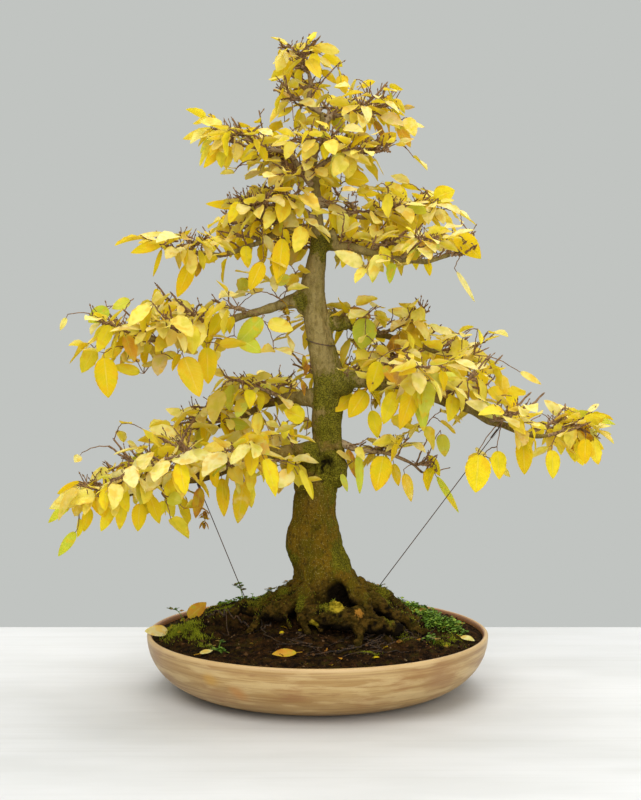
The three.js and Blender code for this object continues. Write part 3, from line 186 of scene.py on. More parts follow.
# Limbs from low to high, each by its line, radii at both ends, number of boughs and the values that the
# function above names. A whole limb is slim; the others are part of the tree's thick wood.
LIMBS = [
    limb("left_low_front", 11, False, [*seen_at((318, 455, 0), (290, 452, -18), (245, 462, -40),
         (214, 474, -52), (180, 480, -62), (150, 487, -70)), (-185, -75, 205)],
         (8.5, 2.2), 6, 0.3, 60, 0.3, 31),
    limb("left_low_back", 23, False, [*seen_at((316, 398, 4), (290, 398, 25), (265, 404, 45),
         (235, 420, 60)), (-106, 66, 258)],
         (6.0, 2.2), 4, 0.1, 58, 0.3, 30),
    limb("left_mid", 37, False, [*seen_at((303, 297, 0), (288, 303, 0), (262, 311, -4), (236, 317, -8)),
         (-111, -15, 359), (-145, -22, 352), (-176, -27, 358)],
         (5.5, 2.0), 5, 0.36, 60, 0.2, 30),
    limb("left_upper", 41, False, [*seen_at((316, 232, 4), (295, 228, 8), (273, 236, 10), (250, 246, 8),
         (224, 255, 5)), (-117, 0, 437), (-130, -4, 437)],
         (4.2, 1.6), 4, 0.05, 54, 0.2, 28),
    limb("left_upper_high", 43, True, [*seen_at((317, 220, 4)), (-18, -2, 482), (-40, -8, 486),
         (-58, -10, 484)],
         (2.8, 1.3), 4, 0.15, 36, 0.2, 27),
    limb("left_top", 53, True, [(-5, 0, 506), (-12, -1, 514), *seen_at((294, 159, -5), (283, 152, -8),
         (262, 148, -12)), (-72, -14, 543)],
         (3.2, 1.5), 4, 0.1, 40, 0.2, 26),
    limb("right_main", 67, False, [*seen_at((334, 385, 0), (352, 380, -15), (380, 381, -32),
         (408, 384, -45), (441, 399, -55), (465, 408, -60), (500, 425, -62)), (206, -62, 263),
         (222, -61, 262)],
         (9.0, 2.0), 6, 0.12, 62, 0.12, 31),
    limb("right_back", 71, False, [*seen_at((328, 322, 0), (342, 322, 14), (356, 327, 28), (385, 335, 48)),
         (106, 58, 343), (134, 60, 334)],
         (6.5, 2.0), 4, 0.15, 58, 0.08, 30),
    limb("right_low", 83, True, [*seen_at((340, 443, 6), (357, 449, 6), (387, 453, 10), (410, 462, 8)),
         (106, 5, 218)],
         (2.6, 1.2), 3, 0.2, 34, -0.1, 29),
    limb("right_upper", 97, False, [*seen_at((322, 242, 4), (340, 247, -8), (356, 249, -16),
         (385, 256, -25), (420, 260, -30)), (118, -32, 432), (130, -31, 436)],
         (5.5, 1.8), 4, 0.3, 50, 0.3, 28),
    limb("right_upper_high", 103, True, [*seen_at((315, 200, 3), (328, 204, 5), (345, 211, 14),
         (361, 217, 22), (395, 215, 32)), (98, 35, 478)],
         (4.0, 1.6), 4, 0.35, 46, 0.35, 28),
    limb("top_right", 113, True, [(5, -3, 562), *seen_at((331, 117, 5), (345, 115, 10), (358, 111.6, 14)),
         (50, 16, 583)],
         (2.6, 1.4), 4, 0.1, 38, 0.05, 25),
    limb("top_right_low", 117, True, [(-1, -2, 522), (12, -12, 530), (30, -20, 534), (52, -24, 536)],
         (2.6, 1.4), 4, 0.3, 36, 0.2, 26),
    limb("back_low", 127, True, [(6, 2, 286), (18, 30, 300), (32, 60, 306), (48, 84, 304)],
         (4.5, 1.8), 4, 0.4, 58, 0.1, 30),
    limb("back_mid", 131, True, [(-2, 0, 425), (0, 26, 440), (4, 52, 450), (8, 74, 452)],
         (4.2, 1.6), 4, 0.4, 52, 0.15, 29),
    limb("back_top", 139, True, [(-2, 2, 505), (-8, 20, 514), (-20, 40, 520)],
         (3.2, 1.5), 3, 0.3, 42, 0.25, 26),
    limb("front_top", 149, True, [(-4, -3, 530), (0, -20, 540), (4, -32, 544)],
         (2.6, 1.4), 3, 0.3, 34, 0.2, 25),
    limb("apex", 151, True, [*seen_at((322, 112, -5), (309, 105, -6), (310.4, 84, -7), (306.5, 67, -8)),
         (-20, -8, 630)],
         (2.4, 1.4), 5, 0.1, 31, 0.35, 23),
]

# The crown's pads of foliage and the limbs that carry each
PADS = {
    "low_left": ["left_low_front", "left_low_back"],
    "mid_left": ["left_mid"],
    "upper_left": ["left_upper", "left_upper_high"],
    "low_right": ["right_main", "right_low"],
    "mid_right": ["right_back"],
    "upper_right": ["right_upper", "right_upper_high"],
    "back": ["back_low", "back_mid"],
    "crown": ["left_top", "top_right", "top_right_low", "back_top", "front_top", "apex"],
}

# Large leaves placed one by one, mostly hanging at the front, as they lie on the photograph: the pixels of
# the stalk end and of the tip, the tip's depth in millimetres, the width in pixels and the tone
CHOSEN_LEAVES = [
    ((104, 357), (108.6, 398), -52, 25, 0.7), ((184, 357), (200, 397), -48, 26, 0.72),
    ((207, 347), (208, 384), -30, 20, 0.75), ((108, 309), (88, 322), -40, 17, 0.945),
    ((158, 305), (158, 291), -20, 13, 0.85), ((110, 325), (97, 352), -50, 14, 0.3),
    ((140, 372), (112, 366), -30, 12, 0.3), ((262, 318), (236, 345), -20, 20, 0.93),
    ((238, 338), (262, 352), -22, 18, 0.92), ((268, 322), (293, 330), -16, 17, 0.3),
    ((269.5, 400), (240, 392), 22, 18, 0.75), ((232, 391), (213, 396), 40, 15, 0.7),
    ((234, 408), (208, 414), 40, 14, 0.75), ((226, 422), (250, 427), 20, 14, 0.93),
    ((268.6, 439), (233, 446), -30, 22, 0.72), ((304, 418), (284, 410), -14, 20, 0.3),
    ((222, 478), (224, 517), -60, 15, 0.75), ((243, 482), (238, 524), -58, 19, 0.8),
    ((291, 470), (279, 488), -36, 17, 0.85), ((300, 469), (313, 500), -48, 7, 0.3),
    ((75, 532), (58, 556), -70, 12, 0.93), ((85, 484), (57, 493), -60, 14, 0.7),
    ((98, 488), (104, 518), -90, 22, 0.7), ((122, 500), (120, 530), -95, 13, 0.3),
    ((150, 496), (160, 524), -95, 14, 0.7), ((168, 497), (182, 502), -98, 16, 0.9),
    ((72, 500), (48, 523), -66, 10, 0.92), ((80, 455), (75, 462), -50, 9, 0.85),
    ((383, 456), (376, 491), -10, 24, 0.72), ((358, 453), (360, 494), -8, 10, 0.92),
    ((347, 449), (356, 478), -6, 10, 0.98), ((342, 474), (348, 492), -20, 7, 0.93),
    ((394, 464), (399, 486), 0, 10, 0.8), ((405, 473), (412, 502), 0, 12, 0.8),
    ((441, 434), (445, 457), -20, 15, 0.92), ((429, 455), (440, 476), -6, 11, 0.4),
    ((437, 477), (460, 513), 6, 8, 0.92), ((478, 455), (476, 493), -78, 28, 0.5),
    ((497, 451), (500, 480), -72, 18, 0.4), ((523, 440), (525, 475), -74, 20, 0.7),
    ((552, 450), (553, 479), -74, 17, 0.3), ((578, 432), (604, 449), -50, 13, 0.2),
    ((575, 412), (616, 424), -55, 10, 0.93), ((560, 415), (545, 400), -40, 12, 0.85),
    ((422, 317.5), (388, 309), 40, 14, 0.86), ((371, 317), (345, 308), 20, 12, 0.98),
    ((366, 318), (362, 350), -10, 26, 0.93), ((379, 361), (370, 393), -52, 20, 0.6),
    ((383.5, 366), (400, 386), -60, 12, 0.96), ((429, 372), (447, 398), -70, 12, 0.965),
    ((417, 381), (400, 430), -95, 20, 0.75), ((419, 383), (424, 432), -90, 19, 0.93),
    ((398, 335), (386, 352), 0, 9, 0.99), ((476, 404), (500, 418), -80, 16, 0.93),
    ((520, 372), (542, 384), 30, 8, 0.5), ((366, 391), (349, 418), -22, 20, 0.72),
    ((352, 395), (336, 412), -10, 14, 0.7), ((394, 392), (384, 424), -60, 18, 0.3),
    ((372, 410), (378, 438), -24, 15, 0.4), ((140, 503), (138, 532), -92, 16, 0.7),
    ((112, 507), (101, 532), -86, 13, 0.3), ((90, 508), (84, 532), -82, 12, 0.7),
    ((200, 488), (196, 518), -70, 13, 0.98), ((66, 318), (60, 330), -36, 6, 0.87),
    ((130, 300), (112, 308), -30, 12, 0.9), ((178, 303), (160, 312), -14, 10, 0.87),
    ((345, 177), (369, 181), -30, 19, 0.7), ((405, 203), (386, 181), 10, 20, 0.3),
    ((434, 198), (455, 190), 20, 21, 0.3), ((455, 234), (481, 258), -40, 24, 0.7),
    ((457, 271), (475.5, 302), -46, 6, 0.85), ((363, 265), (335, 251), -40, 16, 0.86),
    ((369, 264), (369, 276), -30, 12, 0.85), ((427, 211), (406, 207), 0, 11, 0.93),
    ((352, 217), (349, 238), -16, 16, 0.7), ((333, 208), (336, 229), -10, 12, 0.7),
    ((402, 108), (415, 107), 14, 6, 0.99), ((399, 126), (411, 147), 10, 13, 0.96),
    ((192, 263), (177, 297), -20, 16, 0.72), ((198, 262), (196, 277), -12, 10, 0.99),
    ((163, 242), (130, 252), -10, 12, 0.7), ((165, 234), (136, 235), 0, 6, 0.85),
    ((162, 250), (153, 277), -8, 5, 0.7), ((237, 206), (206, 203), 0, 10, 0.7),
    ((240, 214), (219, 222), -6, 10, 0.3), ((256, 207), (240, 217), -14, 6, 0.99),
    ((282, 238), (278, 284), -40, 18, 0.7), ((262, 262), (250, 290), -36, 16, 0.75),
    ((215, 130), (183, 138), -16, 11, 0.3), ((224, 142), (204, 168), -24, 12, 0.72),
    ((216, 122), (198, 118), -10, 9, 0.85),
]

# Guy wires: limb, where along it, foot on the root base as a mark on the photograph
GUYS = [("left_low_front", 0.58, (246, 601, -6)), ("right_main", 0.75, (378, 588, 4))]
WIRE_RADIUS = 0.6


# Camera, lights and floor

def set_camera():
    """The photograph's view: from the front, a little above the middle, looking slightly down."""
    lens = bpy.data.cameras.new("camera")
    lens.sensor_width = SENSOR
    lens.lens = SENSOR * LENS_PIXELS / PICTURE_HEIGHT
    lens.clip_end = 20
    camera = bpy.data.objects.new("camera", lens)
    camera.location = (CAMERA_SIDE * MM, -CAMERA_DISTANCE * MM, CAMERA_HEIGHT * MM)
    camera.rotation_euler = (math.pi / 2 - PITCH, 0, 0)
    scene.collection.objects.link(camera)
    scene.camera = camera


def area_light(name, place, aim, size, power, colour):
    """A square soft light at place that looks at aim."""
    lamp = bpy.data.lights.new(name, "AREA")
    lamp.size = size
    lamp.energy = power
    lamp.color = colour
    holder = bpy.data.objects.new(name, lamp)
    ahead = np.array(aim, float) - np.array(place, float)
    flat = math.hypot(ahead[0], ahead[1])
    holder.location = place
    holder.rotation_euler = (math.atan2(flat, -ahead[2]), 0, math.atan2(-ahead[0], ahead[1]))
    scene.collection.objects.link(holder)


def set_lights():
    world = bpy.data.worlds.new("studio")
    world.use_nodes = True
    sky = world.node_tree.nodes["Background"]
    sky.inputs["Color"].default_value = (0.533, 0.552, 0.533, 1)
    sky.inputs["Strength"].default_value = 1.0
    scene.world = world
    area_light("key", (-0.7, -1.3, 2.0), (0, 0, 0.3), 1.5, 29, (1.0, 0.985, 0.96))
    area_light("top", (0.35, 0.6, 2.1), (0, 0, 0.3), 1.8, 40, (1.0, 1.0, 1.0))
    area_light("fill", (0.9, -2.3, 0.8), (0, 0, 0.3), 2.0, 31, (1.0, 1.0, 1.0))
    scene.view_settings.view_transform = "Standard"


set_camera()
set_lights()


# Meshes

def set_mesh(name, points, quads, tris, uv=None, sharp=None, values=None):
    """A piece from whole arrays: points in millimetres and faces as rows of point numbers."""
    corners = np.concatenate([np.ravel(quads), np.ravel(tris)]).astype(np.int32)
    starts = np.concatenate([np.arange(len(quads)) * 4, len(quads) * 4 + np.arange(len(tris)) * 3])
    mesh = bpy.data.meshes.new(name)
    mesh.vertices.add(len(points))
    mesh.vertices.foreach_set("co", (np.asarray(points) * MM).astype(np.float32).ravel())
    mesh.loops.add(len(corners))
    mesh.loops.foreach_set("vertex_index", corners)
    mesh.polygons.add(len(starts))
    mesh.polygons.foreach_set("loop_start", starts.astype(np.int32))
    mesh.update(calc_edges=True)
    if uv is not None:
        layer = mesh.uv_layers.new(name="surface")
        layer.data.foreach_set("uv", uv[corners].astype(np.float32).ravel())
    for key, value in (values or {}).items():
        set_value(mesh, key, value)
    mesh.polygons.foreach_set("use_smooth", np.ones(len(starts), bool))
    if sharp:
        mesh.set_sharp_from_angle(angle=math.radians(sharp))
    piece = bpy.data.objects.new(name, mesh)
    scene.collection.objects.link(piece)
    return piece


def set_value(mesh, key, value):
    """Stores a number at every point of a mesh for its finish to read."""
    mesh.attributes.new(key, "FLOAT", "POINT").data.foreach_set("value", np.asarray(value, np.float32))


class Shapes:
    """Gathers shapes, with a number or two at each of their points, into one piece."""

    def __init__(self):
        self.points, self.quads, self.tris, self.uv, self.values, self.count = [], [], [], [], [], 0

    def add(self, shape, **values):
        points, quads, tris, uv = shape
        self.points.append(points)
        self.quads.append(quads + self.count)
        self.tris.append(tris + self.count)
        self.uv.append(uv)
        self.values.append({key: np.broadcast_to(value, len(points)) for key, value in values.items()})
        self.count += len(points)

    def piece(self, name, sharp=None):
        keys = sorted({key for row in self.values for key in row})
        zeros = [np.zeros(len(points)) for points in self.points]
        values = {}
        for key in keys:
            values[key] = np.concatenate([row.get(key, zero) for row, zero in zip(self.values, zeros)])
        joined = (np.concatenate(part) for part in (self.points, self.quads, self.tris, self.uv))
        return set_mesh(name, *joined, sharp, values)


def unit(v):
    return v / np.maximum(np.linalg.norm(v, axis=-1, keepdims=True), 1e-9)


def full_turn(count):
    """Even angles once round."""
    return 2 * np.pi * np.arange(count) / count


def read_off(values, t):
    """Values that stand at even steps along a line, read off at shares t of it."""
    return np.interp(t * (len(values) - 1), np.arange(len(values)), values)


def square_to(ways):
    """Two directions square to each way and to each other."""
    across = unit(np.cross(ways, np.where(np.abs(ways[:, 2:]) > 0.8, BACK, UP)))
    return across, np.cross(ways, across)


def repeated(faces, each, count):
    """The same faces for count shapes of each points."""
    return (faces[None] + each * np.arange(count)[:, None, None]).reshape(-1, faces.shape[1])


def skin_faces(rows, sides):
    """Faces of a skin of rows times sides points, closed by a fan to one more point at each end."""
    k, a = np.meshgrid(np.arange(rows - 1), np.arange(sides), indexing="ij")
    b = (a + 1) % sides
    quads = np.stack([k * sides + a, (k + 1) * sides + a, (k + 1) * sides + b, k * sides + b], -1)
    a, b = a[0], b[0]
    first, last = np.full(sides, rows * sides), np.full(sides, rows * sides + 1)
    end = (rows - 1) * sides
    tris = np.concatenate([np.stack([first, a, b], -1), np.stack([last, end + b, end + a], -1)])
    return quads.reshape(-1, 4), tris


def tubes(paths, radii, sides, swell=1.0):
    """Round stems. Point (k, a) is the path's point k plus, at the angle a, the radius there times swell, in
    the plane square to the path. Both ends are closed by a fan."""
    paths = np.asarray(paths, float)
    count, rows = paths.shape[:2]
    ahead = unit(np.gradient(paths, axis=1))
    run = unit(paths[:, -1] - paths[:, 0])
    reference = np.where(np.abs(run[:, 2:]) > 0.7, BACK, UP)[:, None]
    across = unit(np.cross(reference, ahead))
    beside = np.cross(across, ahead)
    angle = full_turn(sides)
    ring = across[:, :, None] * np.cos(angle)[:, None] + beside[:, :, None] * np.sin(angle)[:, None]
    reach = np.asarray(radii, float)[:, :, None] * swell
    skin = paths[:, :, None] + ring * np.broadcast_to(reach, (count, rows, sides))[..., None]
    points = np.concatenate([skin.reshape(count, -1, 3), paths[:, :1], paths[:, -1:]], 1)
    share = np.concatenate([np.repeat(np.linspace(0, 1, rows), sides), [0, 1]])
    uv = np.stack([np.concatenate([np.tile(angle / (2 * np.pi), rows), [0, 0]]), share], -1)
    faces = (repeated(kind, rows * sides + 2, count) for kind in skin_faces(rows, sides))
    return points.reshape(-1, 3), *faces, np.tile(uv, (count, 1))


def spindles(feet, ways, lengths, widths, waist=0.4):
    """Small eight-faced bodies: a point, four corners around it at the waist's share of the length, a tip."""
    ways = unit(ways)
    across, beside = square_to(ways)
    lengths, widths = lengths[:, None], widths[:, None]
    belt = feet + ways * lengths * waist
    points = np.stack([feet, feet + ways * lengths, belt + across * widths, belt + beside * widths,
                       belt - across * widths, belt - beside * widths], 1)
    tris = np.array([(0, 3, 2), (0, 4, 3), (0, 5, 4), (0, 2, 5), (1, 2, 3), (1, 3, 4), (1, 4, 5), (1, 5, 2)])
    uv = np.tile([(0, 0), (0, 1), (0, 0.5), (0.25, 0.5), (0.5, 0.5), (0.75, 0.5)], (len(feet), 1))
    return points.reshape(-1, 3), np.zeros((0, 4), int), repeated(tris, 6, len(feet)), uv


def spikes(feet, ways, lengths, widths):
    """Tiny pointed blades: a three-cornered foot drawn out to a point along its way."""
    ways = unit(ways)
    across, beside = (side[:, None] for side in square_to(ways))
    angle = full_turn(3)[:, None]
    foot = feet[:, None] + widths[:, None, None] * (across * np.cos(angle) + beside * np.sin(angle))
    points = np.concatenate([foot, (feet + ways * lengths[:, None])[:, None]], 1)
    tris = np.array([(0, 2, 1), (3, 0, 1), (3, 1, 2), (3, 2, 0)])
    uv = np.tile([(0, 0), (0.3, 0), (0.6, 0), (0, 1)], (len(feet), 1))
    return points.reshape(-1, 3), np.zeros((0, 4), int), repeated(tris, 4, len(feet)), uv


def ellipsoid(at, size, rows=14, sides=20):
    """A ball drawn out along each axis: a half circle from pole to pole turned around the height."""
    turn = np.linspace(-np.pi / 2, np.pi / 2, rows)
    path = np.stack([0 * turn, 0 * turn, np.sin(turn)], -1)[None] * 0.9999
    points, quads, tris, uv = tubes(path, np.maximum(np.cos(turn), 0.02)[None], sides)
    return points * np.array(size) + np.array(at), quads, tris, uv


# Pairs of side veins on a leaf
VEINS = 12


def blade_faces(rows, cells):
    """Point numbers of a leaf's faces: an upper and a lower skin that share their edge, base and tip."""
    r, c = np.meshgrid(np.arange(rows + 1), np.arange(cells + 1), indexing="ij")
    upper = 2 + (r - 1) * (cells + 1) + c
    lower = 2 + (rows - 1) * (cells + 1) + (r - 1) * (cells - 1) + c - 1
    lower = np.where((c == 0) | (c == cells), upper, lower)
    quads, tris = [], []
    for ids, flip in ((upper, 1), (lower, -1)):
        ids = np.where(r == 0, 0, np.where(r == rows, 1, ids))
        corner = np.stack([ids[:-1, :-1], ids[1:, :-1], ids[1:, 1:], ids[:-1, 1:]], -1)
        quads.append(corner[1:-1].reshape(-1, 4)[:, ::flip])
        tris.append(corner[0][:, [0, 1, 2]][:, ::flip])
        tris.append(corner[-1][:, [0, 1, 3]][:, ::flip])
    return np.concatenate(quads), np.concatenate(tris)


def blades(leaves, rows, cells, thick, teeth, pleat):
    """Leaves. u runs from base to tip and v across, from -1 to 1. The half width is the leaf's own times
    2.556 u^0.55 (1 - u)^0.85, whose largest value is 1, toothed at the edge. Each half rises from the midrib
    by the fold, the blade bends down with u squared, twists and waves, and the veins raise pleats. The two
    skins stand apart by the thickness at the midrib and meet at the edge. A skin that faces up is pale: a
    painted highlight for the light from above, shifted by each leaf's own bias."""
    u, v = np.meshgrid(np.linspace(0, 1, rows + 1)[1:-1], np.linspace(-1, 1, cells + 1), indexing="ij")
    u = 0.5 * u + 0.25 - 0.25 * np.cos(np.pi * u)
    inner = (slice(None), slice(1, -1))
    side = np.concatenate([[0, 0], np.ones(u.size), -np.ones(u[inner].size)])
    tooth = np.broadcast_to((np.arange(rows - 1) % 2)[:, None], u.shape)
    tooth = np.concatenate([[0, 0], tooth.ravel(), tooth[inner].ravel()])
    u, v = (np.concatenate([ends, w.ravel(), w[inner].ravel()]) for ends, w in (([0, 1], u), ([0, 0], v)))
    across = np.abs(v)
    outline = 2.556 * u ** 0.55 * (1 - u) ** 0.85 * (1 - teeth * tooth * across ** 4)
    length, width, bend, fold, twist, wave, turn = (
        leaves[key][:, None] for key in ("length", "width", "bend", "fold", "twist", "wave", "turn"))
    half = width * outline
    height = half * across * np.sin(fold) - bend * length * u ** 2 + v * half * twist * (u - 0.3)
    height += wave * half * across * np.sin(7 * u + turn + 2 * v)
    height += pleat * np.sin(2 * np.pi * VEINS * (u - 0.18 * across)) * (across * (1.2 - across)) * 2
    height += side * thick / 2 * np.sqrt(np.maximum(0, 1 - across ** 2))
    lateral = v * half * np.cos(fold)
    ahead, facing = leaves["ahead"][:, None], leaves["facing"][:, None]
    beside = np.cross(facing, ahead)
    points = leaves["base"][:, None] + ahead * (u * length)[..., None]
    points = points + facing * height[..., None] + beside * lateral[..., None]
    count, each = points.shape[:2]
    uv = np.tile(np.stack([u, v / 2 + 0.5], -1), (count, 1))
    # Painted highlight: the skin that faces up is made pale, as if lit from above, shifted by each leaf's own
    # bias
    pale = np.clip(1.6 * leaves["facing"][:, 2:] * side - 0.68 + leaves["highlight_bias"][:, None], 0, 0.9)
    faces = (repeated(kind, each, count) for kind in blade_faces(rows, cells))
    return (points.reshape(-1, 3), *faces, uv), pale.ravel()


def add_blades(shapes, leaves, rows, cells, thick, teeth, pleat):
    shape, pale = blades(leaves, rows, cells, thick, teeth, pleat)
    each = len(shape[0]) // len(leaves["length"])
    shapes.add(shape, tone=np.repeat(leaves["tone"], each), shade=np.repeat(leaves["shade"], each), pale=pale)


def noise(place, seed):
    """Smooth noise from -1 to 1: a random number at each point of a unit lattice, blended between them by
    3 t^2 - 2 t^3 along each axis."""
    cell = np.floor(place).astype(np.int64)
    part = place - cell
    part = part * part * (3 - 2 * part)
    total = np.zeros(place.shape[:-1])
    for corner in range(8):
        bit = np.array([corner & 1, corner >> 1 & 1, corner >> 2 & 1])
        key = ((cell + bit) * np.array([73856093, 19349663, 83492791])).sum(-1) + seed * 15485863
        key = (key ^ (key >> 15)) * 2246822519 & 0xFFFFFFFF
        key = (key ^ (key >> 13)) * 3266489917 & 0xFFFFFFFF
        total += np.prod(np.where(bit, part, 1 - part), -1) * ((key >> 8 & 0xFFFF) / 32767.5 - 1)
    return total


def along(points, t):
    """Points of the smooth curve through points, at shares t of it: each stretch is a cubic whose slope at
    an end is half the chord between the neighbours."""
    points = np.asarray(points, float)
    last = points.shape[-2] - 1
    at = np.asarray(t, float) * last
    i = np.clip(np.floor(at).astype(int), 0, last - 1)
    w = (at - i)[..., None]
    before = 2 * points[..., :1, :] - points[..., 1:2, :]
    after = 2 * points[..., -1:, :] - points[..., -2:-1, :]
    whole = np.concatenate([before, points, after], -2)
    a, b, c, d = (whole[..., i + k, :] for k in range(4))
    m, n = (c - a) / 2, (d - b) / 2
    return b + m * w + (3 * (c - b) - 2 * m - n) * w ** 2 + (2 * (b - c) + m + n) * w ** 3


def slope(points, t):
    return along(points, min(1, t + 0.02)) - along(points, max(0, t - 0.02))


def turned(v, angle):
    c, s = math.cos(angle), math.sin(angle)
    return np.array([v[0] * c - v[1] * s, v[0] * s + v[1] * c, v[2]])


def level(v):
    return unit(np.array([v[0], v[1], 0.0]))


# How boughs, twigs and leaves grow
TWIGS_ON_BOUGH = 6
TWIG_SPOTS = (0.4, 0.7, 0.98)
TIP_SPOTS = (0.5, 0.75, 0.98)
WOOD_CLEARANCE = 3
LEAF_CLEARANCE = 2.5
LEAF_SPACING = 5
LEAVES_KEPT = 0.9
BOX_MARGIN = 1.5


class Draws:
    """A repeatable stream of draws."""

    def __init__(self, seed):
        self.state = seed * 7919 + 17
        for _ in range(3):
            self.between(0, 1)

    def between(self, low, high):
        self.state = self.state * 16807 % 2147483647
        return low + (high - low) * self.state / 2147483647


def limb_radius(row, share):
    return row["radii"][0] + (row["radii"][1] - row["radii"][0]) * share


def guy_wire(name, share, mark):
    """A wire tied round a limb: the ring's middle, radius and heading, and the straight line to its foot."""
    bearer = next(row for row in LIMBS if row["name"] == name)
    foot = seen_at(mark)[0]
    middle = along(bearer["path"], share)
    ring = limb_radius(bearer, share) + 2 * WIRE_RADIUS
    heading = unit(slope(bearer["path"], share))
    down = foot - middle
    top = middle + unit(down - heading * (down @ heading)) * ring
    return middle, ring, heading, np.array([foot, top])


def wood_samples():
    """Points inside the trunk, the limbs and the wires with the radius there."""
    t = np.arange(3 * len(TRUNK_LINE)) / (3 * len(TRUNK_LINE) - 1)
    samples = [np.column_stack([along(TRUNK_LINE, t), read_off(TRUNK_RADII, t)])]
    for row in LIMBS:
        steps = 4 * (len(row["path"]) - 1)
        t = np.arange(steps + 1) / steps
        samples.append(np.column_stack([along(row["path"], t), limb_radius(row, t)]))
    for guy in GUYS:
        t = np.arange(41) / 40
        samples.append(np.column_stack([along(guy_wire(*guy)[3], t), np.full(41, WIRE_RADIUS)]))
    return np.concatenate(samples)


WOOD = wood_samples()


def clear(points, gap):
    apart = ((np.atleast_2d(points)[:, None] - WOOD[None, :, :3]) ** 2).sum(-1)
    return bool((apart > (WOOD[:, 3] + gap) ** 2).all())


def grow_boughs(row, boughs, twigs):
    """Boughs leave a limb left and right in turn, each a curve of four points that sways and climbs."""
    draws = Draws(row["seed"])
    for k in range(row["boughs"]):
        last = k == row["boughs"] - 1
        shift = 0 if last else draws.between(-0.25, 0.25)
        t = 1 if last else row["first"] + (0.93 - row["first"]) * (k + 0.5 + shift) / (row["boughs"] - 1)
        side = 0 if last else (-1 if k % 2 else 1)
        turn = side * (1.3 - 0.5 * t + draws.between(-0.25, 0.25)) + draws.between(-0.1, 0.1)
        if row["name"] == "apex":
            turn = k * GOLDEN_TURN + draws.between(-0.3, 0.3)
        heading = turned(level(slope(row["path"], t)), turn)
        swell = 0.85 + 0.25 * math.sin(math.pi * min(1, 0.25 + 0.75 * t))
        length = row["reach"] * swell * draws.between(0.88, 1.12) * (0.62 if last else 1)
        across = turned(heading, math.pi / 2)
        start = along(row["path"], t)
        flip = 1 if draws.between(-1, 1) > 0 else -1
        climb = row["rise"] + draws.between(-0.2, 0.3)
        points = [start]
        for share in (0.3, 0.62, 1):
            sway = (-0.07 if share == 0.62 else 0.07) * length * flip * draws.between(0.4, 1.2)
            lift = length * (climb * share + draws.between(-0.05, 0.07))
            points.append(start + heading * length * share + across * sway + UP * lift)
        bough = dict(limb=row, points=np.array(points), root=min(limb_radius(row, t) * 0.75, 2))
        boughs.append(bough)
        grow_twigs(bough, k, draws, twigs)


def grow_twigs(bough, k, draws, twigs):
    """Twigs leave a bough left and right in turn, most with a shorter one forking off."""
    reach = bough["limb"]["reach"]
    for j in range(TWIGS_ON_BOUGH):
        t = min(0.95, 0.15 + 0.8 * (j + draws.between(0, 0.7)) / (TWIGS_ON_BOUGH - 0.4))
        side = 1 if (j + k) % 2 else -1
        heading = turned(level(slope(bough["points"], t)), side * draws.between(0.6, 1.25))
        length = reach * draws.between(0.36, 0.62) * (1.2 - 0.45 * t)
        rise = draws.between(-0.3, 0.95)
        kink = draws.between(-0.16, 0.16)
        fork_at = draws.between(0.35, 0.6)
        fork_turn = -side * draws.between(0.5, 1.1)
        fork_length = length * draws.between(0.45, 0.7)
        fork_rise = draws.between(-0.4, 0.9)
        twig = grow_twig(bough, None, t, heading, length, rise, kink, twigs)
        if twig:
            grow_twig(bough, twig, fork_at, turned(heading, fork_turn), fork_length, fork_rise, -kink, twigs)
    twigs.append(dict(bough=bough, kind="tip", points=bough["points"][1:]))


def grow_twig(bough, parent, at, heading, length, rise, kink, twigs):
    start = along((parent or bough)["points"], at)
    middle = start + heading * length * 0.5 + turned(heading, math.pi / 2) * length * kink
    middle = middle + UP * length * 0.35 * rise
    end = start + heading * length + UP * length * rise
    if not clear([middle, end], WOOD_CLEARANCE):
        return None
    twig = dict(bough=bough, kind="fork" if parent else "twig", points=np.array([start, middle, end]))
    twigs.append(twig)
    return twig


def hang_chosen_leaves(twigs, leaves):
    """Each chosen leaf hangs from the nearest twig by a stem of its own."""
    bearers = [twig for twig in twigs if twig["kind"] != "fork"]
    spots = np.array([along(twig["points"], np.array([0.25, 0.5, 0.75, 1])) for twig in bearers])
    front = np.array([0.25, -1, 0.35])
    for stalk, point, depth, spread, tone in CHOSEN_LEAVES:
        base, tip = seen_at((*stalk, depth + STALK_BEHIND_TIP), (*point, depth))
        width = np.round(spread * (CAMERA_DISTANCE + depth) / CAMERA_DISTANCE)
        ahead = unit(tip - base)
        cost = np.linalg.norm(spots - base, axis=-1) + 0.5 * np.maximum(0, base[2] - spots[..., 2])
        i, j = np.unravel_index(np.argmin(cost), cost.shape)
        start, end = spots[i, j], base - ahead * 4
        middle = (start + end) / 2 + UP * 0.08 * cost[i, j]
        bough = bearers[i]["bough"]
        twigs.append(dict(bough=bough, kind="stem", points=np.array([start, middle, end])))
        leaves.append(dict(
            bough=bough, start=end, base=base, ahead=ahead, facing=unit(front - ahead * (front @ ahead)),
            length=np.linalg.norm(tip - base), width=width / 2, bend=0.06, fold=0.18, tone=tone, fine=True,
        ))


# Where on a leaf its samples are: shares of its length, and of its half width to either side
SAMPLE_U = np.array([0.12, 0.4, 0.7, 0.97, 0.4, 0.4, 0.65, 0.65])
SAMPLE_V = np.array([0, 0, 0, 0, 0.8, -0.8, 0.7, -0.7])


def leaf_samples(leaf):
    """A few points of a leaf, to keep leaves apart."""
    side = np.cross(leaf["facing"], leaf["ahead"])
    u, v = SAMPLE_U[:, None], SAMPLE_V[:, None]
    points = leaf["base"] + leaf["ahead"] * u * leaf["length"] + side * v * leaf["width"]
    return points - leaf["facing"] * leaf["bend"] * leaf["length"] * u * u


def leaf_stance(heading, droop, roll):
    """Where a leaf points and faces, from its level heading, its droop and its roll."""
    ahead = heading * math.cos(droop) - UP * math.sin(droop)
    top = heading * math.sin(droop) + UP * math.cos(droop)
    return ahead, top * math.cos(roll) + np.cross(top, ahead) * math.sin(roll)


def in_box(samples):
    return (samples > BOX_LOW + BOX_MARGIN).all() and (samples < BOX_HIGH - BOX_MARGIN).all()


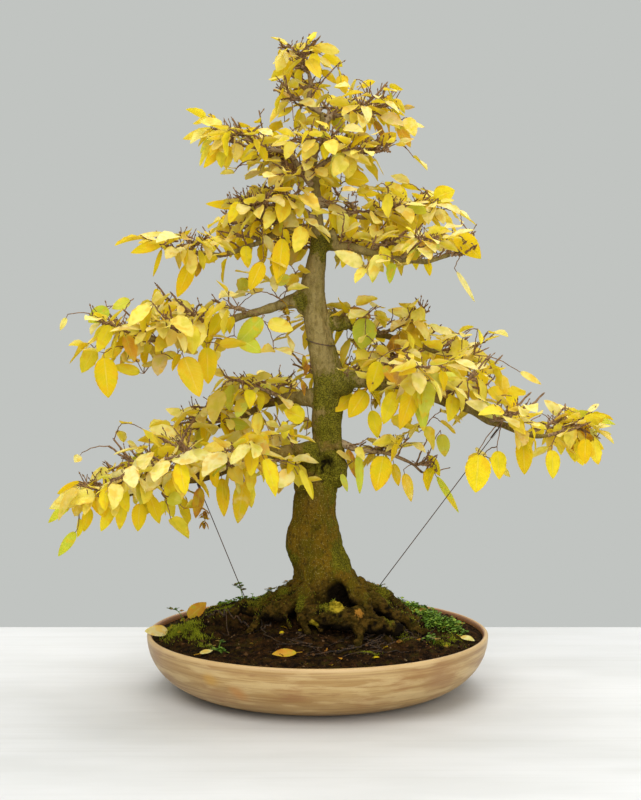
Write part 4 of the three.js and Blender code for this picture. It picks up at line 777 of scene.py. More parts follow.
def grow_leaves(twigs, leaves):
    """Three leaves a twig, left, right and at its tip, each at its own droop and roll, kept where it stays
    clear of the wood and of the leaves before it."""
    taken = np.concatenate([leaf_samples(leaf) for leaf in leaves])
    draws = Draws(977)
    for number, twig in enumerate(twigs):
        if twig["kind"] == "stem":
            continue
        spots = TIP_SPOTS if twig["kind"] == "tip" else TWIG_SPOTS
        for j, t in enumerate(spots):
            side = 0 if j == len(spots) - 1 else (1 if (j + number) % 2 else -1)
            turn = side * draws.between(0.5, 1.3) + draws.between(-0.35, 0.35)
            heading = turned(level(slope(twig["points"], t)), turn)
            droop = -0.15 + 1.5 * draws.between(0, 1)
            roll = draws.between(-0.8, 0.8)
            length = twig["bough"]["limb"]["leaf"] * (0.72 + 0.5 * draws.between(0, 1) ** 1.5)
            width = length * draws.between(0.27, 0.335)
            bend = draws.between(-0.02, 0.2)
            fold = draws.between(0.05, 0.45)
            tone = draws.between(0, 1)
            stalk = draws.between(3, 6)
            kept = draws.between(0, 1) <= LEAVES_KEPT
            # The part ranks its leaves by one more draw; taking it here keeps the two scripts in step
            draws.between(0, 1)
            if not kept:
                continue
            ahead, facing = leaf_stance(heading, droop, roll)
            start = along(twig["points"], t)
            leaf = dict(bough=twig["bough"], start=start, base=start + ahead * stalk, ahead=ahead,
                        facing=facing, length=length, width=width, bend=bend, fold=fold, tone=tone,
                        fine=False)
            samples = leaf_samples(leaf)
            if not in_box(samples) or not clear(samples, LEAF_CLEARANCE):
                continue
            apart = ((samples[:, None] - taken[None]) ** 2).sum(-1)
            if apart.min() < LEAF_SPACING ** 2:
                continue
            taken = np.concatenate([taken, samples])
            leaves.append(leaf)


# Fine growth among the boughs: spots for small leaves along a twig, and how far apart they stay
FILL_SPOTS = (0.2, 0.45, 0.7, 0.95)
FILL_SPACING = 3.6
FILL_CLEARANCE = 1.5
# One short twig off the limbs for so many millimetres
SHOOT_SPACING = 11

# Bunches of small leaves marked on the photograph: pixel across, pixel down and depth of the centre, half
# sizes in millimetres and number
BUNCHES_SEEN = [
    ((290, 432, 10), (20, 25, 16), 26), ((292, 470, -15), (18, 20, 14), 22),
    ((238, 415, 30), (24, 25, 16), 26), ((268, 450, 20), (22, 25, 14), 22),
    ((180, 500, -60), (18, 20, 16), 22), ((360, 325, 10), (20, 25, 18), 24),
    ((368, 355, 0), (22, 25, 10), 18), ((445, 338, 20), (34, 30, 14), 32),
    ((408, 434, -25), (18, 20, 14), 16), ((455, 412, -40), (20, 20, 10), 14),
    ((270, 285, -5), (26, 20, 14), 24), ((100, 330, -22), (22, 25, 20), 18),
    ((150, 355, -18), (22, 20, 14), 14), ((350, 95, -5), (24, 20, 16), 20),
    ((385, 110, 8), (22, 20, 18), 22), ((380, 145, -10), (22, 20, 12), 14),
    ((190, 240, 5), (20, 20, 12), 16), ((315, 222, 0), (34, 30, 16), 26),
    ((360, 240, -10), (14, 20, 14), 10), ((405, 250, -25), (26, 25, 14), 24),
    ((120, 435, -60), (20, 25, 12), 14), ((245, 165, 0), (18, 20, 8), 8), ((300, 130, 0), (20, 20, 10), 10),
    ((270, 178, -5), (16, 20, 8), 8), ((405, 188, 12), (16, 20, 8), 9), ((500, 400, -50), (22, 20, 10), 10),
    ((250, 380, 20), (20, 20, 8), 8),
]
# Bunches placed in millimetres between them: centre, half sizes and number
BUNCHES = [(seen_at(mark)[0], half, count) for mark, half, count in BUNCHES_SEEN] + [
    ((-225, -20, 362), (10, 14, 8), 8), ((-97, -20, 350), (8, 12, 8), 7), ((-32, -10, 350), (14, 12, 9), 12),
    ((-143, -20, 338), (8, 12, 6), 6), ((224, -48, 280), (10, 14, 6), 7),
    ((-192, -58, 266), (14, 16, 8), 12), ((82, -20, 252), (14, 14, 7), 10), ((163, -52, 245), (6, 10, 6), 5),
    ((16, 0, 612), (12, 12, 10), 10), ((-36, 0, 562), (10, 12, 8), 8), ((88, 8, 538), (10, 12, 8), 9),
    ((25, -5, 505), (10, 12, 6), 8), ((60, -5, 505), (10, 12, 6), 8), ((146, 0, 470), (8, 12, 8), 8),
    ((-26, -8, 420), (8, 10, 8), 8), ((0, -28, 468), (15, 8, 15), 20),
]

OPEN_DEPTH = -15


def open_box(left, top, right, bottom):
    """A box of the picture as low x, low z, high x, high z at the depth of the crown's front."""
    low, high = seen_at((left, bottom, OPEN_DEPTH), (right, top, OPEN_DEPTH))
    return low[0], low[2], high[0], high[2]


# Open places in the crown marked on the photograph: left, top, right and bottom pixel
OPEN_SEEN = [
    (244, 46, 276, 62), (240, 82, 272, 112), (182, 198, 212, 218), (134, 210, 176, 234),
    (134, 246, 162, 270), (476, 224, 516, 280), (304, 246, 332, 268), (150, 262, 176, 280),
    (60, 298, 92, 340), (432, 294, 480, 328), (234, 300, 298, 318), (222, 356, 300, 374),
    (120, 376, 200, 412), (524, 392, 548, 412), (470, 414, 498, 446), (76, 414, 116, 468),
    (438, 450, 462, 482),
]
# Open places chosen in millimetres, seen from the front: low x, low z, high x, high z
OPEN = np.array([open_box(*box) for box in OPEN_SEEN] + [
    (88, 575, 108, 599), (64, 520, 86, 541), (140, 484, 165, 508), (182, 330, 212, 351), (80, 199, 106, 240),
    (32, 486, 50, 498), (-127, 394, -97, 412), (-200, 394, -176, 406), (186, 314, 213, 330),
    (112, 414, 150, 434),
], float)


def in_open_place(samples):
    """Whether any of the samples, seen from the front, is in an open place."""
    spots = samples[:, None, [0, 2]]
    return ((spots > OPEN[:, :2]) & (spots < OPEN[:, 2:])).all(2).any()


def grow_shoots(twigs):
    """Short twigs off the limbs themselves, left and right in turn, rising."""
    for row in LIMBS:
        draws = Draws(row["seed"] + 500)
        run = np.linalg.norm(np.diff(row["path"], axis=0), axis=1).sum()
        count = int(run / SHOOT_SPACING)
        for k in range(count):
            t = 0.1 + 0.86 * (k + draws.between(0, 1)) / count
            heading = turned(level(slope(row["path"], t)), draws.between(0.5, 1.5) * (1 if k % 2 else -1))
            length = draws.between(14, 32)
            start = along(row["path"], t)
            end = start + heading * length + UP * length * draws.between(-0.25, 1.2)
            middle = (start + end) / 2 + turned(heading, math.pi / 2) * length * draws.between(-0.16, 0.16)
            if clear([middle, end], WOOD_CLEARANCE):
                twigs.append(dict(bough=dict(limb=row), kind="shoot", points=np.array([start, middle, end])))


class Crown:
    """The leaves so far, and the room that is left between them."""

    def __init__(self, leaves):
        self.leaves = leaves
        self.taken = np.concatenate([leaf_samples(leaf) for leaf in leaves])

    def add(self, bough, start, base, heading, droop, roll, length, draws):
        """Adds a leaf where it stays inside the crown, clear of the wood and of the leaves before it."""
        ahead, facing = leaf_stance(heading, droop, roll)
        leaf = dict(bough=bough, start=start, base=base, ahead=ahead, facing=facing, length=length,
                    width=length * draws.between(0.27, 0.34), bend=draws.between(-0.02, 0.22),
                    fold=draws.between(0.05, 0.5), tone=draws.between(0, 1), fine=False)
        samples = leaf_samples(leaf)
        if not in_box(samples) or in_open_place(samples) or not clear(samples, FILL_CLEARANCE):
            return False
        near_by = self.taken[(np.abs(self.taken - samples.mean(0)) < length).all(1)]
        if len(near_by) and ((samples[:, None] - near_by[None]) ** 2).sum(-1).min() < FILL_SPACING ** 2:
            return False
        self.taken = np.concatenate([self.taken, samples])
        self.leaves.append(leaf)
        return True


def fill_leaves(twigs, crown):
    """Smaller leaves at the spots of every twig, fewer on the short boughs near the top, each at its own
    heading, droop and roll."""
    draws = Draws(1301)
    for twig in twigs:
        size, reach = (twig["bough"]["limb"][key] for key in ("leaf", "reach"))
        share = 0.42 + 0.38 * min(1, max(0, (reach - 34) / 26))
        for t in FILL_SPOTS:
            if draws.between(0, 1) > share:
                continue
            heading = turned(level(slope(twig["points"], t)), draws.between(-1.9, 1.9))
            droop, roll = draws.between(-0.6, 1.25), draws.between(-0.9, 0.9)
            start = along(twig["points"], t)
            base = start + leaf_stance(heading, droop, roll)[0] * draws.between(2.5, 6)
            length = size * draws.between(0.52, 0.98)
            crown.add(twig["bough"], start, base, heading, droop, roll, length, draws)


def hang_bunches(twigs, crown):
    """Bunches that close the gaps near the trunk: each leaf has a stem from the nearest twig or stem."""
    draws = Draws(1709)
    for centre, half, count in BUNCHES:
        bearers = [twig for twig in twigs if np.abs(twig["points"][1] - centre).max() < 90]
        spots = np.concatenate([along(twig["points"], np.array([0.3, 0.65, 1.0])) for twig in bearers])
        owners = [twig["bough"] for twig in bearers for _ in range(3)]
        for _ in range(count):
            base = np.array(centre) + np.array(half) * [draws.between(-1, 1) for _ in range(3)]
            apart = np.linalg.norm(spots - base, axis=1)
            nearest = int(np.argmin(apart))
            start, bough = spots[nearest], owners[nearest]
            heading = turned(level(base - start + [0.1, -0.1, 0]), draws.between(-0.8, 0.8))
            droop, roll = draws.between(-0.5, 1.3), draws.between(-0.9, 0.9)
            length = bough["limb"]["leaf"] * draws.between(0.6, 1.05)
            if not crown.add(bough, base, base, heading, droop, roll, length, draws):
                continue
            middle = (start + base) / 2 + UP * 0.1 * apart[nearest]
            if apart[nearest] > 4:
                twigs.append(dict(bough=bough, kind="stem", points=np.array([start, middle, base])))
                spots = np.concatenate([spots, [middle, base]])
                owners += [bough, bough]


def leaf_stays(leaf):
    """Whether a leaf was placed one by one, or keeps out of the open places together with its stalk."""
    return leaf["fine"] or not in_open_place(np.array([*leaf_samples(leaf), leaf["start"]]))


boughs, twigs, leaves = [], [], []
for row in LIMBS:
    grow_boughs(row, boughs, twigs)
hang_chosen_leaves(twigs, leaves)
grow_leaves(twigs, leaves)
grow_shoots(twigs)
twigs = [twig for twig in twigs if twig["kind"] == "stem" or not in_open_place(twig["points"][1:])]
leaves = [leaf for leaf in leaves if leaf_stays(leaf)]
crown = Crown(leaves)
fill_leaves(twigs, crown)
hang_bunches(twigs, crown)


# Finishes

def shade(red, green, blue):
    """A colour from screen values."""
    part = (c / 255 for c in (red, green, blue))
    return tuple(c / 12.92 if c < 0.04 else ((c + 0.055) / 1.055) ** 2.4 for c in part) + (1,)


class Value:
    """A number or colour that varies over a surface. Arithmetic on it adds the matching maths nodes."""

    def __init__(self, finish, socket):
        self.finish, self.socket = finish, socket

    def maths(self, operation, *rest):
        return self.finish.node("Math", {"operation": operation}, dict(enumerate((self, *rest))))

    def __add__(self, other):
        return self.maths("ADD", other)

    def __sub__(self, other):
        return self.maths("SUBTRACT", other)

    def __mul__(self, other):
        return self.maths("MULTIPLY", other)

    def __rsub__(self, other):
        return self.finish.node("Math", {"operation": "SUBTRACT"}, {0: other, 1: self})

    __radd__, __rmul__ = __add__, __mul__

    def __abs__(self):
        return self.maths("ABSOLUTE")

    def fraction(self):
        return self.maths("FRACT")

    def rise(self, low, high):
        """0 below low, 1 above high, with a smooth step between."""
        return self.finish.node("MapRange", {"interpolation_type": "SMOOTHSTEP"},
                                {"Value": self, "From Min": low, "From Max": high})


class Finish:
    """A material, built from nodes."""

    def __init__(self, name):
        self.material = bpy.data.materials.new(name)
        self.material.use_nodes = True
        self.tree = self.material.node_tree
        self.tree.nodes.clear()
        self.place = self.node("TexCoord", {}, {}, "Object")

    def node(self, kind, settings, inputs, output=0):
        """Adds a node: its settings first, then the values or links of its sockets."""
        made = self.tree.nodes.new("ShaderNode" + kind)
        for key, value in settings.items():
            if key == "stops":
                ramp = made.color_ramp
                for at, colour in value[1:-1]:
                    ramp.elements.new(at).color = colour
                for element, (at, colour) in ((ramp.elements[0], value[0]), (ramp.elements[-1], value[-1])):
                    element.position, element.color = at, colour
            else:
                setattr(made, key, value)
        for key, value in inputs.items():
            if isinstance(value, Value):
                self.tree.links.new(value.socket, made.inputs[key])
            else:
                made.inputs[key].default_value = value
        return None if output is None else Value(self, made.outputs[output])

    def heights(self):
        """The height above the floor in millimetres."""
        return self.node("SeparateXYZ", {}, {0: self.place}, "Z") * (1 / MM)

    def stored(self, key):
        """A value that the mesh has at its points."""
        return self.node("Attribute", {"attribute_name": key}, {}, "Fac")

    def sheet(self, axis):
        """How far along a leaf (X) or across it (Y), from 0 to 1."""
        return self.node("SeparateXYZ", {}, {0: self.node("UVMap", {"uv_map": "surface"}, {})}, axis)

    def grain(self, size, detail=3.0, shift=(0, 0, 0)):
        """Noise from 0 to 1 whose lumps have the size given in millimetres, all round or along each axis."""
        scale = tuple(1 / (MM * length) for length in np.broadcast_to(size, 3))
        spread = self.node("Mapping", {}, {"Vector": self.place, "Location": shift, "Scale": scale})
        inputs = {"Vector": spread, "Scale": 1.0, "Detail": detail, "Roughness": 0.55}
        return self.node("TexNoise", {}, inputs)

    def mix(self, share, first, second):
        return self.node("Mix", {"data_type": "RGBA"}, {0: share, 6: first, 7: second}, 2)

    def darken(self, colour, amount):
        """The colour times a number."""
        return self.node("VectorMath", {"operation": "SCALE"}, {0: colour, "Scale": amount})

    def ramp(self, value, stops):
        return self.node("ValToRGB", {"stops": stops}, {0: value})

    def bump(self, height, depth):
        """A normal from a height between 0 and 1 that stands for the depth given in millimetres."""
        return self.node("Bump", {}, {"Height": height, "Distance": depth * MM, "Strength": 1.0})

    def done(self, colour, roughness, normal, specular=0.5, glow=None, **fixed):
        """Ends the nodes in a Principled shader, mixed with light passing through where glow is given."""
        inputs = {"Base Color": colour, "Roughness": roughness, "Normal": normal, **fixed}
        surface = self.node("BsdfPrincipled", {}, {**inputs, "Specular IOR Level": specular})
        if glow:
            share, tint = glow
            through = self.node("BsdfTranslucent", {}, {"Color": tint})
            surface = self.node("MixShader", {}, {0: share, 1: surface, 2: through})
        self.node("OutputMaterial", {}, {"Surface": surface}, None)
        return self.material


def leaf_finish():
    """Autumn leaf: yellow, gold, cream, green or brown by the leaf's tone, with a painted cream highlight
    where the skin faces up and is marked pale, with paler veins, browned edges and spots, darkened by the
    leaf's shade, and aglow against the light."""
    finish = Finish("autumn_leaf")
    u, v = finish.sheet("X"), abs(finish.sheet("Y") * 2 - 1)
    blotch = finish.grain(7, 3.0)
    speck = finish.grain(1.4, 2.0, shift=(3, 1, 2))
    colour = finish.ramp(finish.stored("tone") + (blotch - 0.5) * 0.06, [
        (0.0, shade(255, 246, 90)), (0.3, shade(253, 238, 50)), (0.6, shade(250, 230, 34)),
        (0.64, shade(244, 218, 26)), (0.8, shade(236, 202, 24)), (0.83, shade(255, 250, 200)),
        (0.87, shade(254, 246, 150)), (0.9, shade(216, 226, 84)), (0.95, shade(176, 202, 64)),
        (0.958, shade(232, 176, 66)), (0.972, shade(212, 138, 52)), (0.982, shade(176, 100, 46)),
        (1.0, shade(118, 66, 34)),
    ])
    # Painted highlight: cream laid over the skins that face up, by their pale value
    pale = finish.mix(blotch, shade(255, 253, 216), shade(255, 246, 150))
    colour = finish.mix(finish.stored("pale"), colour, pale)
    vein = 1 - abs((u * 11 - v * 2.2).fraction() - 0.5).rise(0.0, 0.16)
    rib = 1 - v.rise(0.02, 0.09)
    lines = finish.node("Math", {"operation": "MAXIMUM"}, {0: rib, 1: vein * 0.45})
    colour = finish.mix(lines * 0.35, colour, shade(255, 248, 150))
    cloud = finish.grain(12, 2.0, shift=(1, 4, 2))
    colour = finish.mix(cloud.rise(0.5, 0.66) * 0.5, colour, shade(214, 210, 40))
    colour = finish.mix((1 - cloud.rise(0.34, 0.46)) * 0.55, colour, shade(244, 196, 40))
    edge = v.rise(0.72, 1.0) * blotch.rise(0.46, 0.68) * 0.75
    colour = finish.mix(edge, colour, shade(200, 132, 40))
    spots = speck.rise(0.69, 0.74) * blotch.rise(0.4, 0.6)
    colour = finish.mix(spots * 0.7, colour, shade(128, 68, 24))
    normal = finish.bump(lines * 0.6 + blotch, 0.35)
    glow = (0.46, shade(255, 240, 70))
    return finish.done(finish.darken(colour, finish.stored("shade")), 0.5, normal, 0.08, glow)


def twig_finish():
    """Twigs by their girth in millimetres: red-brown where thin, grey-tan where thick, speckled."""
    finish = Finish("twig_bark")
    girth = finish.stored("girth")
    coarse = finish.grain(3, 4.0)
    speck = finish.grain(0.9, 2.0)
    colour = finish.mix(girth.rise(0.8, 2.6), shade(138, 106, 74), shade(158, 138, 104))
    colour = finish.mix(coarse.rise(0.47, 0.6) * 0.75, colour, shade(84, 60, 40))
    colour = finish.mix(speck.rise(0.6, 0.72) * 0.5, colour, shade(192, 174, 142))
    return finish.done(colour, 0.75, finish.bump(coarse, 0.5), specular=0.1)


def bark_finish():
    """Old bark: ochre brown low down and grey-tan above, streaked along the height, mossy where the stored
    value of mossy spots and painted flank shade is high, painted near-black shade in the hollows, crevices
    and under the roots, yellow-green on young roots, orange where a root was cut."""
    finish = Finish("mossy_bark")
    height = finish.heights()
    patch = finish.grain((26, 26, 40), 3.0)
    cloud = finish.grain((13, 13, 16), 3.0, shift=(3, 3, 8))
    streak = finish.grain((4, 4, 17), 4.0, shift=(1, 2, 3))
    scale = finish.grain((2.4, 2.4, 4), 4.0, shift=(5, 1, 2))
    speck = finish.grain(1.3, 2.0, shift=(2, 7, 4))
    upper = (height + (patch - 0.5) * 160).rise(190, 330)
    colour = finish.mix(upper, shade(104, 80, 14), shade(140, 123, 76))
    colour = finish.mix(cloud.rise(0.42, 0.6) * (0.75 - upper * 0.4), colour, shade(84, 74, 8))
    colour = finish.mix(streak.rise(0.5, 0.64) * (0.45 - upper * 0.1), colour, shade(78, 60, 18))
    colour = finish.mix(scale.rise(0.53, 0.64) * (0.65 - upper * 0.35), colour, shade(50, 38, 12))
    colour = finish.mix(speck.rise(0.58, 0.68) * 0.45, colour, shade(164, 148, 84))
    foot = 1 - (height + (cloud - 0.5) * 40).rise(88, 124)
    clump = finish.grain((6, 6, 4), 4.0, shift=(8, 2, 1))
    earth = finish.mix(clump.rise(0.42, 0.64), shade(16, 10, 3), shade(74, 54, 20))
    colour = finish.mix(foot * 0.8, colour, earth)
    green = finish.mix(speck.rise(0.3, 0.7), shade(48, 48, 7), shade(120, 114, 26))
    # The stored value holds real mossy spots and painted shade on the trunk's left and right flanks; both are
    # laid on in the same green
    moss = (finish.stored("moss") + (cloud - 0.5) * 0.9 + (scale - 0.5) * 0.9).rise(0.42, 0.74)
    colour = finish.mix(moss * 0.85, colour, green)
    # Painted shade: near black in the hollows, the crevices and under the roots
    colour = finish.mix(finish.stored("hollow"), colour, shade(14, 9, 5))
    young = (finish.stored("young") + (scale - 0.5) * 0.7).rise(0.3, 0.7)
    fresh = finish.mix(clump.rise(0.4, 0.6), shade(120, 104, 16), shade(186, 162, 46))
    colour = finish.mix(young * 0.8, colour, fresh)
    bare = (finish.stored("cut") + (clump - 0.5) * 0.9 + (scale - 0.5) * 1.2).rise(0.42, 0.6)
    colour = finish.mix(bare * 0.85, colour, finish.mix(clump, shade(112, 70, 22), shade(188, 134, 52)))
    relief = streak * 0.5 + scale + speck * 0.35 + clump * foot * 1.5
    return finish.done(colour, 0.9, finish.bump(relief, 1.6), specular=0.05)


# Stains on the bowl: centre, reach and colour
STAINS = [
    ((-100, -124, 40), 13, (190, 142, 50)), ((-73, -132, 30), 14, (180, 118, 44)),
    ((-22, -146, 34), 8, (156, 104, 46)), ((112, -112, 40), 24, (150, 108, 62)),
    ((60, -138, 44), 10, (156, 106, 52)), ((-140, -70, 30), 16, (150, 108, 56)),
    ((60, 140, 34), 16, (150, 92, 40)), ((-96, 116, 26), 14, (160, 108, 54)),
]


def glaze_finish():
    """Straw-coloured glaze: fine level streaks from the wheel, orange-brown stains, a foot darkened by
    painted shade, a painted highlight along the top of the lip, a warm brown inner rim, under a thin gloss."""
    finish = Finish("straw_glaze")
    height = finish.heights()
    fine = finish.grain((70, 70, 1.6), 4.0)
    broad = finish.grain((90, 90, 7), 3.0, shift=(2, 3, 1))
    cloud = finish.grain((46, 46, 30), 3.0, shift=(4, 0, 6))
    pit = finish.grain(0.9, 1.0)
    colour = finish.mix(broad.rise(0.35, 0.65), shade(164, 128, 72), shade(184, 152, 96))
    colour = finish.mix(fine.rise(0.48, 0.64) * 0.6, colour, shade(144, 104, 50))
    colour = finish.mix(cloud.rise(0.52, 0.7) * 0.5, colour, shade(152, 104, 52))
    sheen = finish.grain((54, 54, 9), 4.0, shift=(7, 1, 2))
    colour = finish.mix(sheen.rise(0.5, 0.64) * 0.6, colour, shade(204, 176, 122))
    colour = finish.mix((1 - sheen.rise(0.3, 0.42)) * 0.6, colour, shade(142, 98, 52))
    # Painted shade: darker within 14 mm of the table, at the foot
    colour = finish.mix((1 - height.rise(0, 14)) * 0.3, colour, shade(164, 130, 72))
    line = 1 - abs(height - 51.2 + (cloud - 0.5) * 2).rise(0.3, 1.6)
    colour = finish.mix(line * 0.4, colour, shade(140, 100, 54))
    # Painted highlight: lighter at the top of the lip, above 53.6 mm
    colour = finish.mix(height.rise(53.6, 55.2) * 0.5, colour, shade(214, 182, 130))
    for at, reach, tint in STAINS:
        ends = {0: finish.place, 1: tuple(MM * c for c in at)}
        apart = finish.node("VectorMath", {"operation": "DISTANCE"}, ends, "Value")
        spot = 1 - (apart * (1 / MM) + (cloud - 0.5) * 22).rise(reach * 0.15, reach)
        colour = finish.mix(spot * 0.7, colour, shade(*tint))
    colour = finish.mix(finish.stored("inside") * 0.75, colour, shade(132, 70, 28))
    colour = finish.mix(pit.rise(0.68, 0.74) * 0.35, colour, shade(120, 84, 48))
    normal = finish.bump(fine * 0.5 + pit * 0.15, 0.35)
    gloss = {"Coat Weight": 0.22, "Coat Roughness": 0.28}
    return finish.done(colour, 0.42 + fine * 0.12, normal, **gloss)


def soil_finish():
    """Dark moist potting soil: black-brown crumbs, some reddish, a few pale."""
    finish = Finish("potting_soil")
    clod = finish.grain(9, 4.0)
    crumb = finish.grain(1.8, 3.0, shift=(1, 1, 5))
    colour = finish.mix(clod.rise(0.36, 0.66), shade(17, 10, 4), shade(58, 37, 14))
    colour = finish.mix(crumb.rise(0.58, 0.72) * 0.6, colour, shade(78, 52, 28))
    film = finish.grain(15, 3.0, shift=(6, 4, 2))
    colour = finish.mix(film.rise(0.44, 0.6) * clod.rise(0.4, 0.6) * 0.6, colour, shade(44, 42, 10))
    colour = finish.mix(finish.stored("green") * clod.rise(0.4, 0.6), colour, shade(66, 64, 16))
    return finish.done(colour, 0.95, finish.bump(clod * 1.4 + crumb * 0.8, 3.0), specular=0.05)


def grain_finish():
    """Loose crumbs of soil, bark and grit, each in its own tone."""
    finish = Finish("loose_grit")
    speck = finish.grain(1.2, 2.0)
    colour = finish.ramp(finish.stored("tone"), [
        (0.0, shade(18, 11, 6)), (0.45, shade(42, 26, 13)), (0.75, shade(72, 45, 22)),
        (0.95, shade(96, 68, 40)), (1.0, shade(126, 108, 80)),
    ])
    colour = finish.mix(speck * 0.4, colour, shade(32, 20, 10))
    return finish.done(colour, 0.9, finish.bump(speck, 0.4), specular=0.08)


def moss_finish():
    """Moss: dark at the foot of each blade and bright at its tip, each in its own green."""
    finish = Finish("moss_green")
    tip = finish.sheet("Y")
    patch = finish.grain(8, 2.0)
    colour = finish.ramp(finish.stored("tone") * 0.7 + patch * 0.3, [
        (0.0, shade(56, 56, 10)), (0.4, shade(102, 106, 18)), (0.75, shade(150, 156, 34)),
        (1.0, shade(188, 192, 66)),
    ])
    colour = finish.mix(1 - tip.rise(0.0, 0.6), colour, shade(40, 38, 8))
    return finish.done(colour, 0.8, finish.bump(patch, 0.3), specular=0.1)


def herb_finish():
    """Small fresh leaves of weeds and ground cover: green, a few turning amber, paler along the midrib."""
    finish = Finish("small_weeds")
    v = abs(finish.sheet("Y") * 2 - 1)
    patch = finish.grain(2.5, 3.0)
    colour = finish.ramp(finish.stored("tone"), [
        (0.0, shade(60, 88, 22)), (0.4, shade(98, 136, 36)), (0.7, shade(146, 172, 56)),
        (0.86, shade(92, 84, 40)), (0.93, shade(178, 128, 48)), (1.0, shade(92, 58, 36)),
    ])
    colour = finish.mix((1 - v.rise(0.0, 0.3)) * 0.3, colour, shade(186, 202, 110))
    colour = finish.mix(patch.rise(0.5, 0.7) * 0.35, colour, shade(52, 60, 18))
    return finish.done(colour, 0.55, finish.bump(patch, 0.3), 0.15, (0.2, shade(170, 190, 50)))


def wire_finish():
    """Tying wire: dull brown with rust."""
    finish = Finish("brown_wire")
    rust = finish.grain(2, 3.0)
    colour = finish.mix(rust.rise(0.4, 0.65), shade(66, 58, 54), shade(104, 70, 44))
    return finish.done(colour, 0.5 + rust * 0.2, finish.bump(rust, 0.1), Metallic=0.35)


def mesh_finish():
    """Drain mesh: dusty dark green plastic."""
    finish = Finish("mesh_plastic")
    dust = finish.grain(3, 3.0)
    colour = finish.mix(dust.rise(0.45, 0.7) * 0.6, shade(36, 44, 34), shade(96, 84, 62))
    return finish.done(colour, 0.5 + dust * 0.3, finish.bump(dust, 0.15))


def floor_finish():
    """A pale painted table top with very faint clouding and brush lines."""
    finish = Finish("pale_floor")
    cloud = finish.grain((220, 60, 60), 3.0)
    line = finish.grain((400, 9, 9), 4.0, shift=(2, 1, 3))
    colour = finish.mix(cloud.rise(0.3, 0.7), shade(201, 201, 200), shade(210, 210, 210))
    colour = finish.mix(line.rise(0.5, 0.7) * 0.25, colour, shade(190, 189, 186))
    return finish.done(colour, 0.55, finish.bump(line, 0.2), specular=0.3)


# Pieces

rng = np.random.default_rng(7)


def fix(piece, material, slot, *replaced):
    """Gives a piece its finish, hangs it from the root body and hides the nodes that it stands for. The slot
    is not used.
    """
    piece.data.materials.clear()
    piece.data.materials.append(material)
    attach(piece, "root")
    if replaced:
        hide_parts(*replaced)
    return piece


def baked(piece):
    """Applies a piece's modifiers to its mesh."""
    view = bpy.context.evaluated_depsgraph_get()
    finished = bpy.data.meshes.new_from_object(piece.evaluated_get(view))
    piece.modifiers.clear()
    piece.data = finished
    return finished


def read_points(mesh):
    """A mesh's points in millimetres, and the surface's own direction at each."""
    place, normal = (np.empty(3 * len(mesh.vertices), np.float32) for _ in range(2))
    mesh.vertices.foreach_get("co", place)
    mesh.vertex_normals.foreach_get("vector", normal)
    return place.reshape(-1, 3).astype(float) / MM, normal.reshape(-1, 3).astype(float)


def bowl_curve(share, foot, rim):
    """A wall that leaves the foot almost level and reaches the rim upright."""
    return foot + (rim - foot) * np.sqrt(np.maximum(0, 1 - (1 - share) ** BOWL_ROUNDNESS))


def outer_radius(z):
    return bowl_curve(z / BOWL_HEIGHT, FOOT_HALF_LENGTH, RIM_HALF_LENGTH)


def inner_radius(z):
    share = (z - BOWL_FLOOR) / (BOWL_HEIGHT - BOWL_FLOOR)
    return bowl_curve(share, FOOT_HALF_LENGTH - FOOT_WALL, RIM_HALF_LENGTH - BOWL_WALL)


def lathed(profile, sides, wobble=None):
    """A profile of radius and height turned into an oval: the radius times cosine along the length and times
    sine across it, shortened by the rim's depth over its length. Each end runs to the axis."""
    radius, height = np.array(profile, float).T
    angle = full_turn(sides)
    height_there = np.repeat(height[1:-1, None], sides, axis=1)
    reach = radius[1:-1, None] * (1 if wobble is None else wobble(angle[None], height_there))
    flat = RIM_HALF_DEPTH / RIM_HALF_LENGTH
    skin = np.stack([reach * np.cos(angle), reach * np.sin(angle) * flat, height_there], -1)
    points = np.concatenate([skin.reshape(-1, 3), [[0, 0, height[0]], [0, 0, height[-1]]]])
    quads, tris = skin_faces(len(skin), sides)
    return points, quads[:, [0, 3, 2, 1]], tris[:, [0, 2, 1]], points[:, :2]


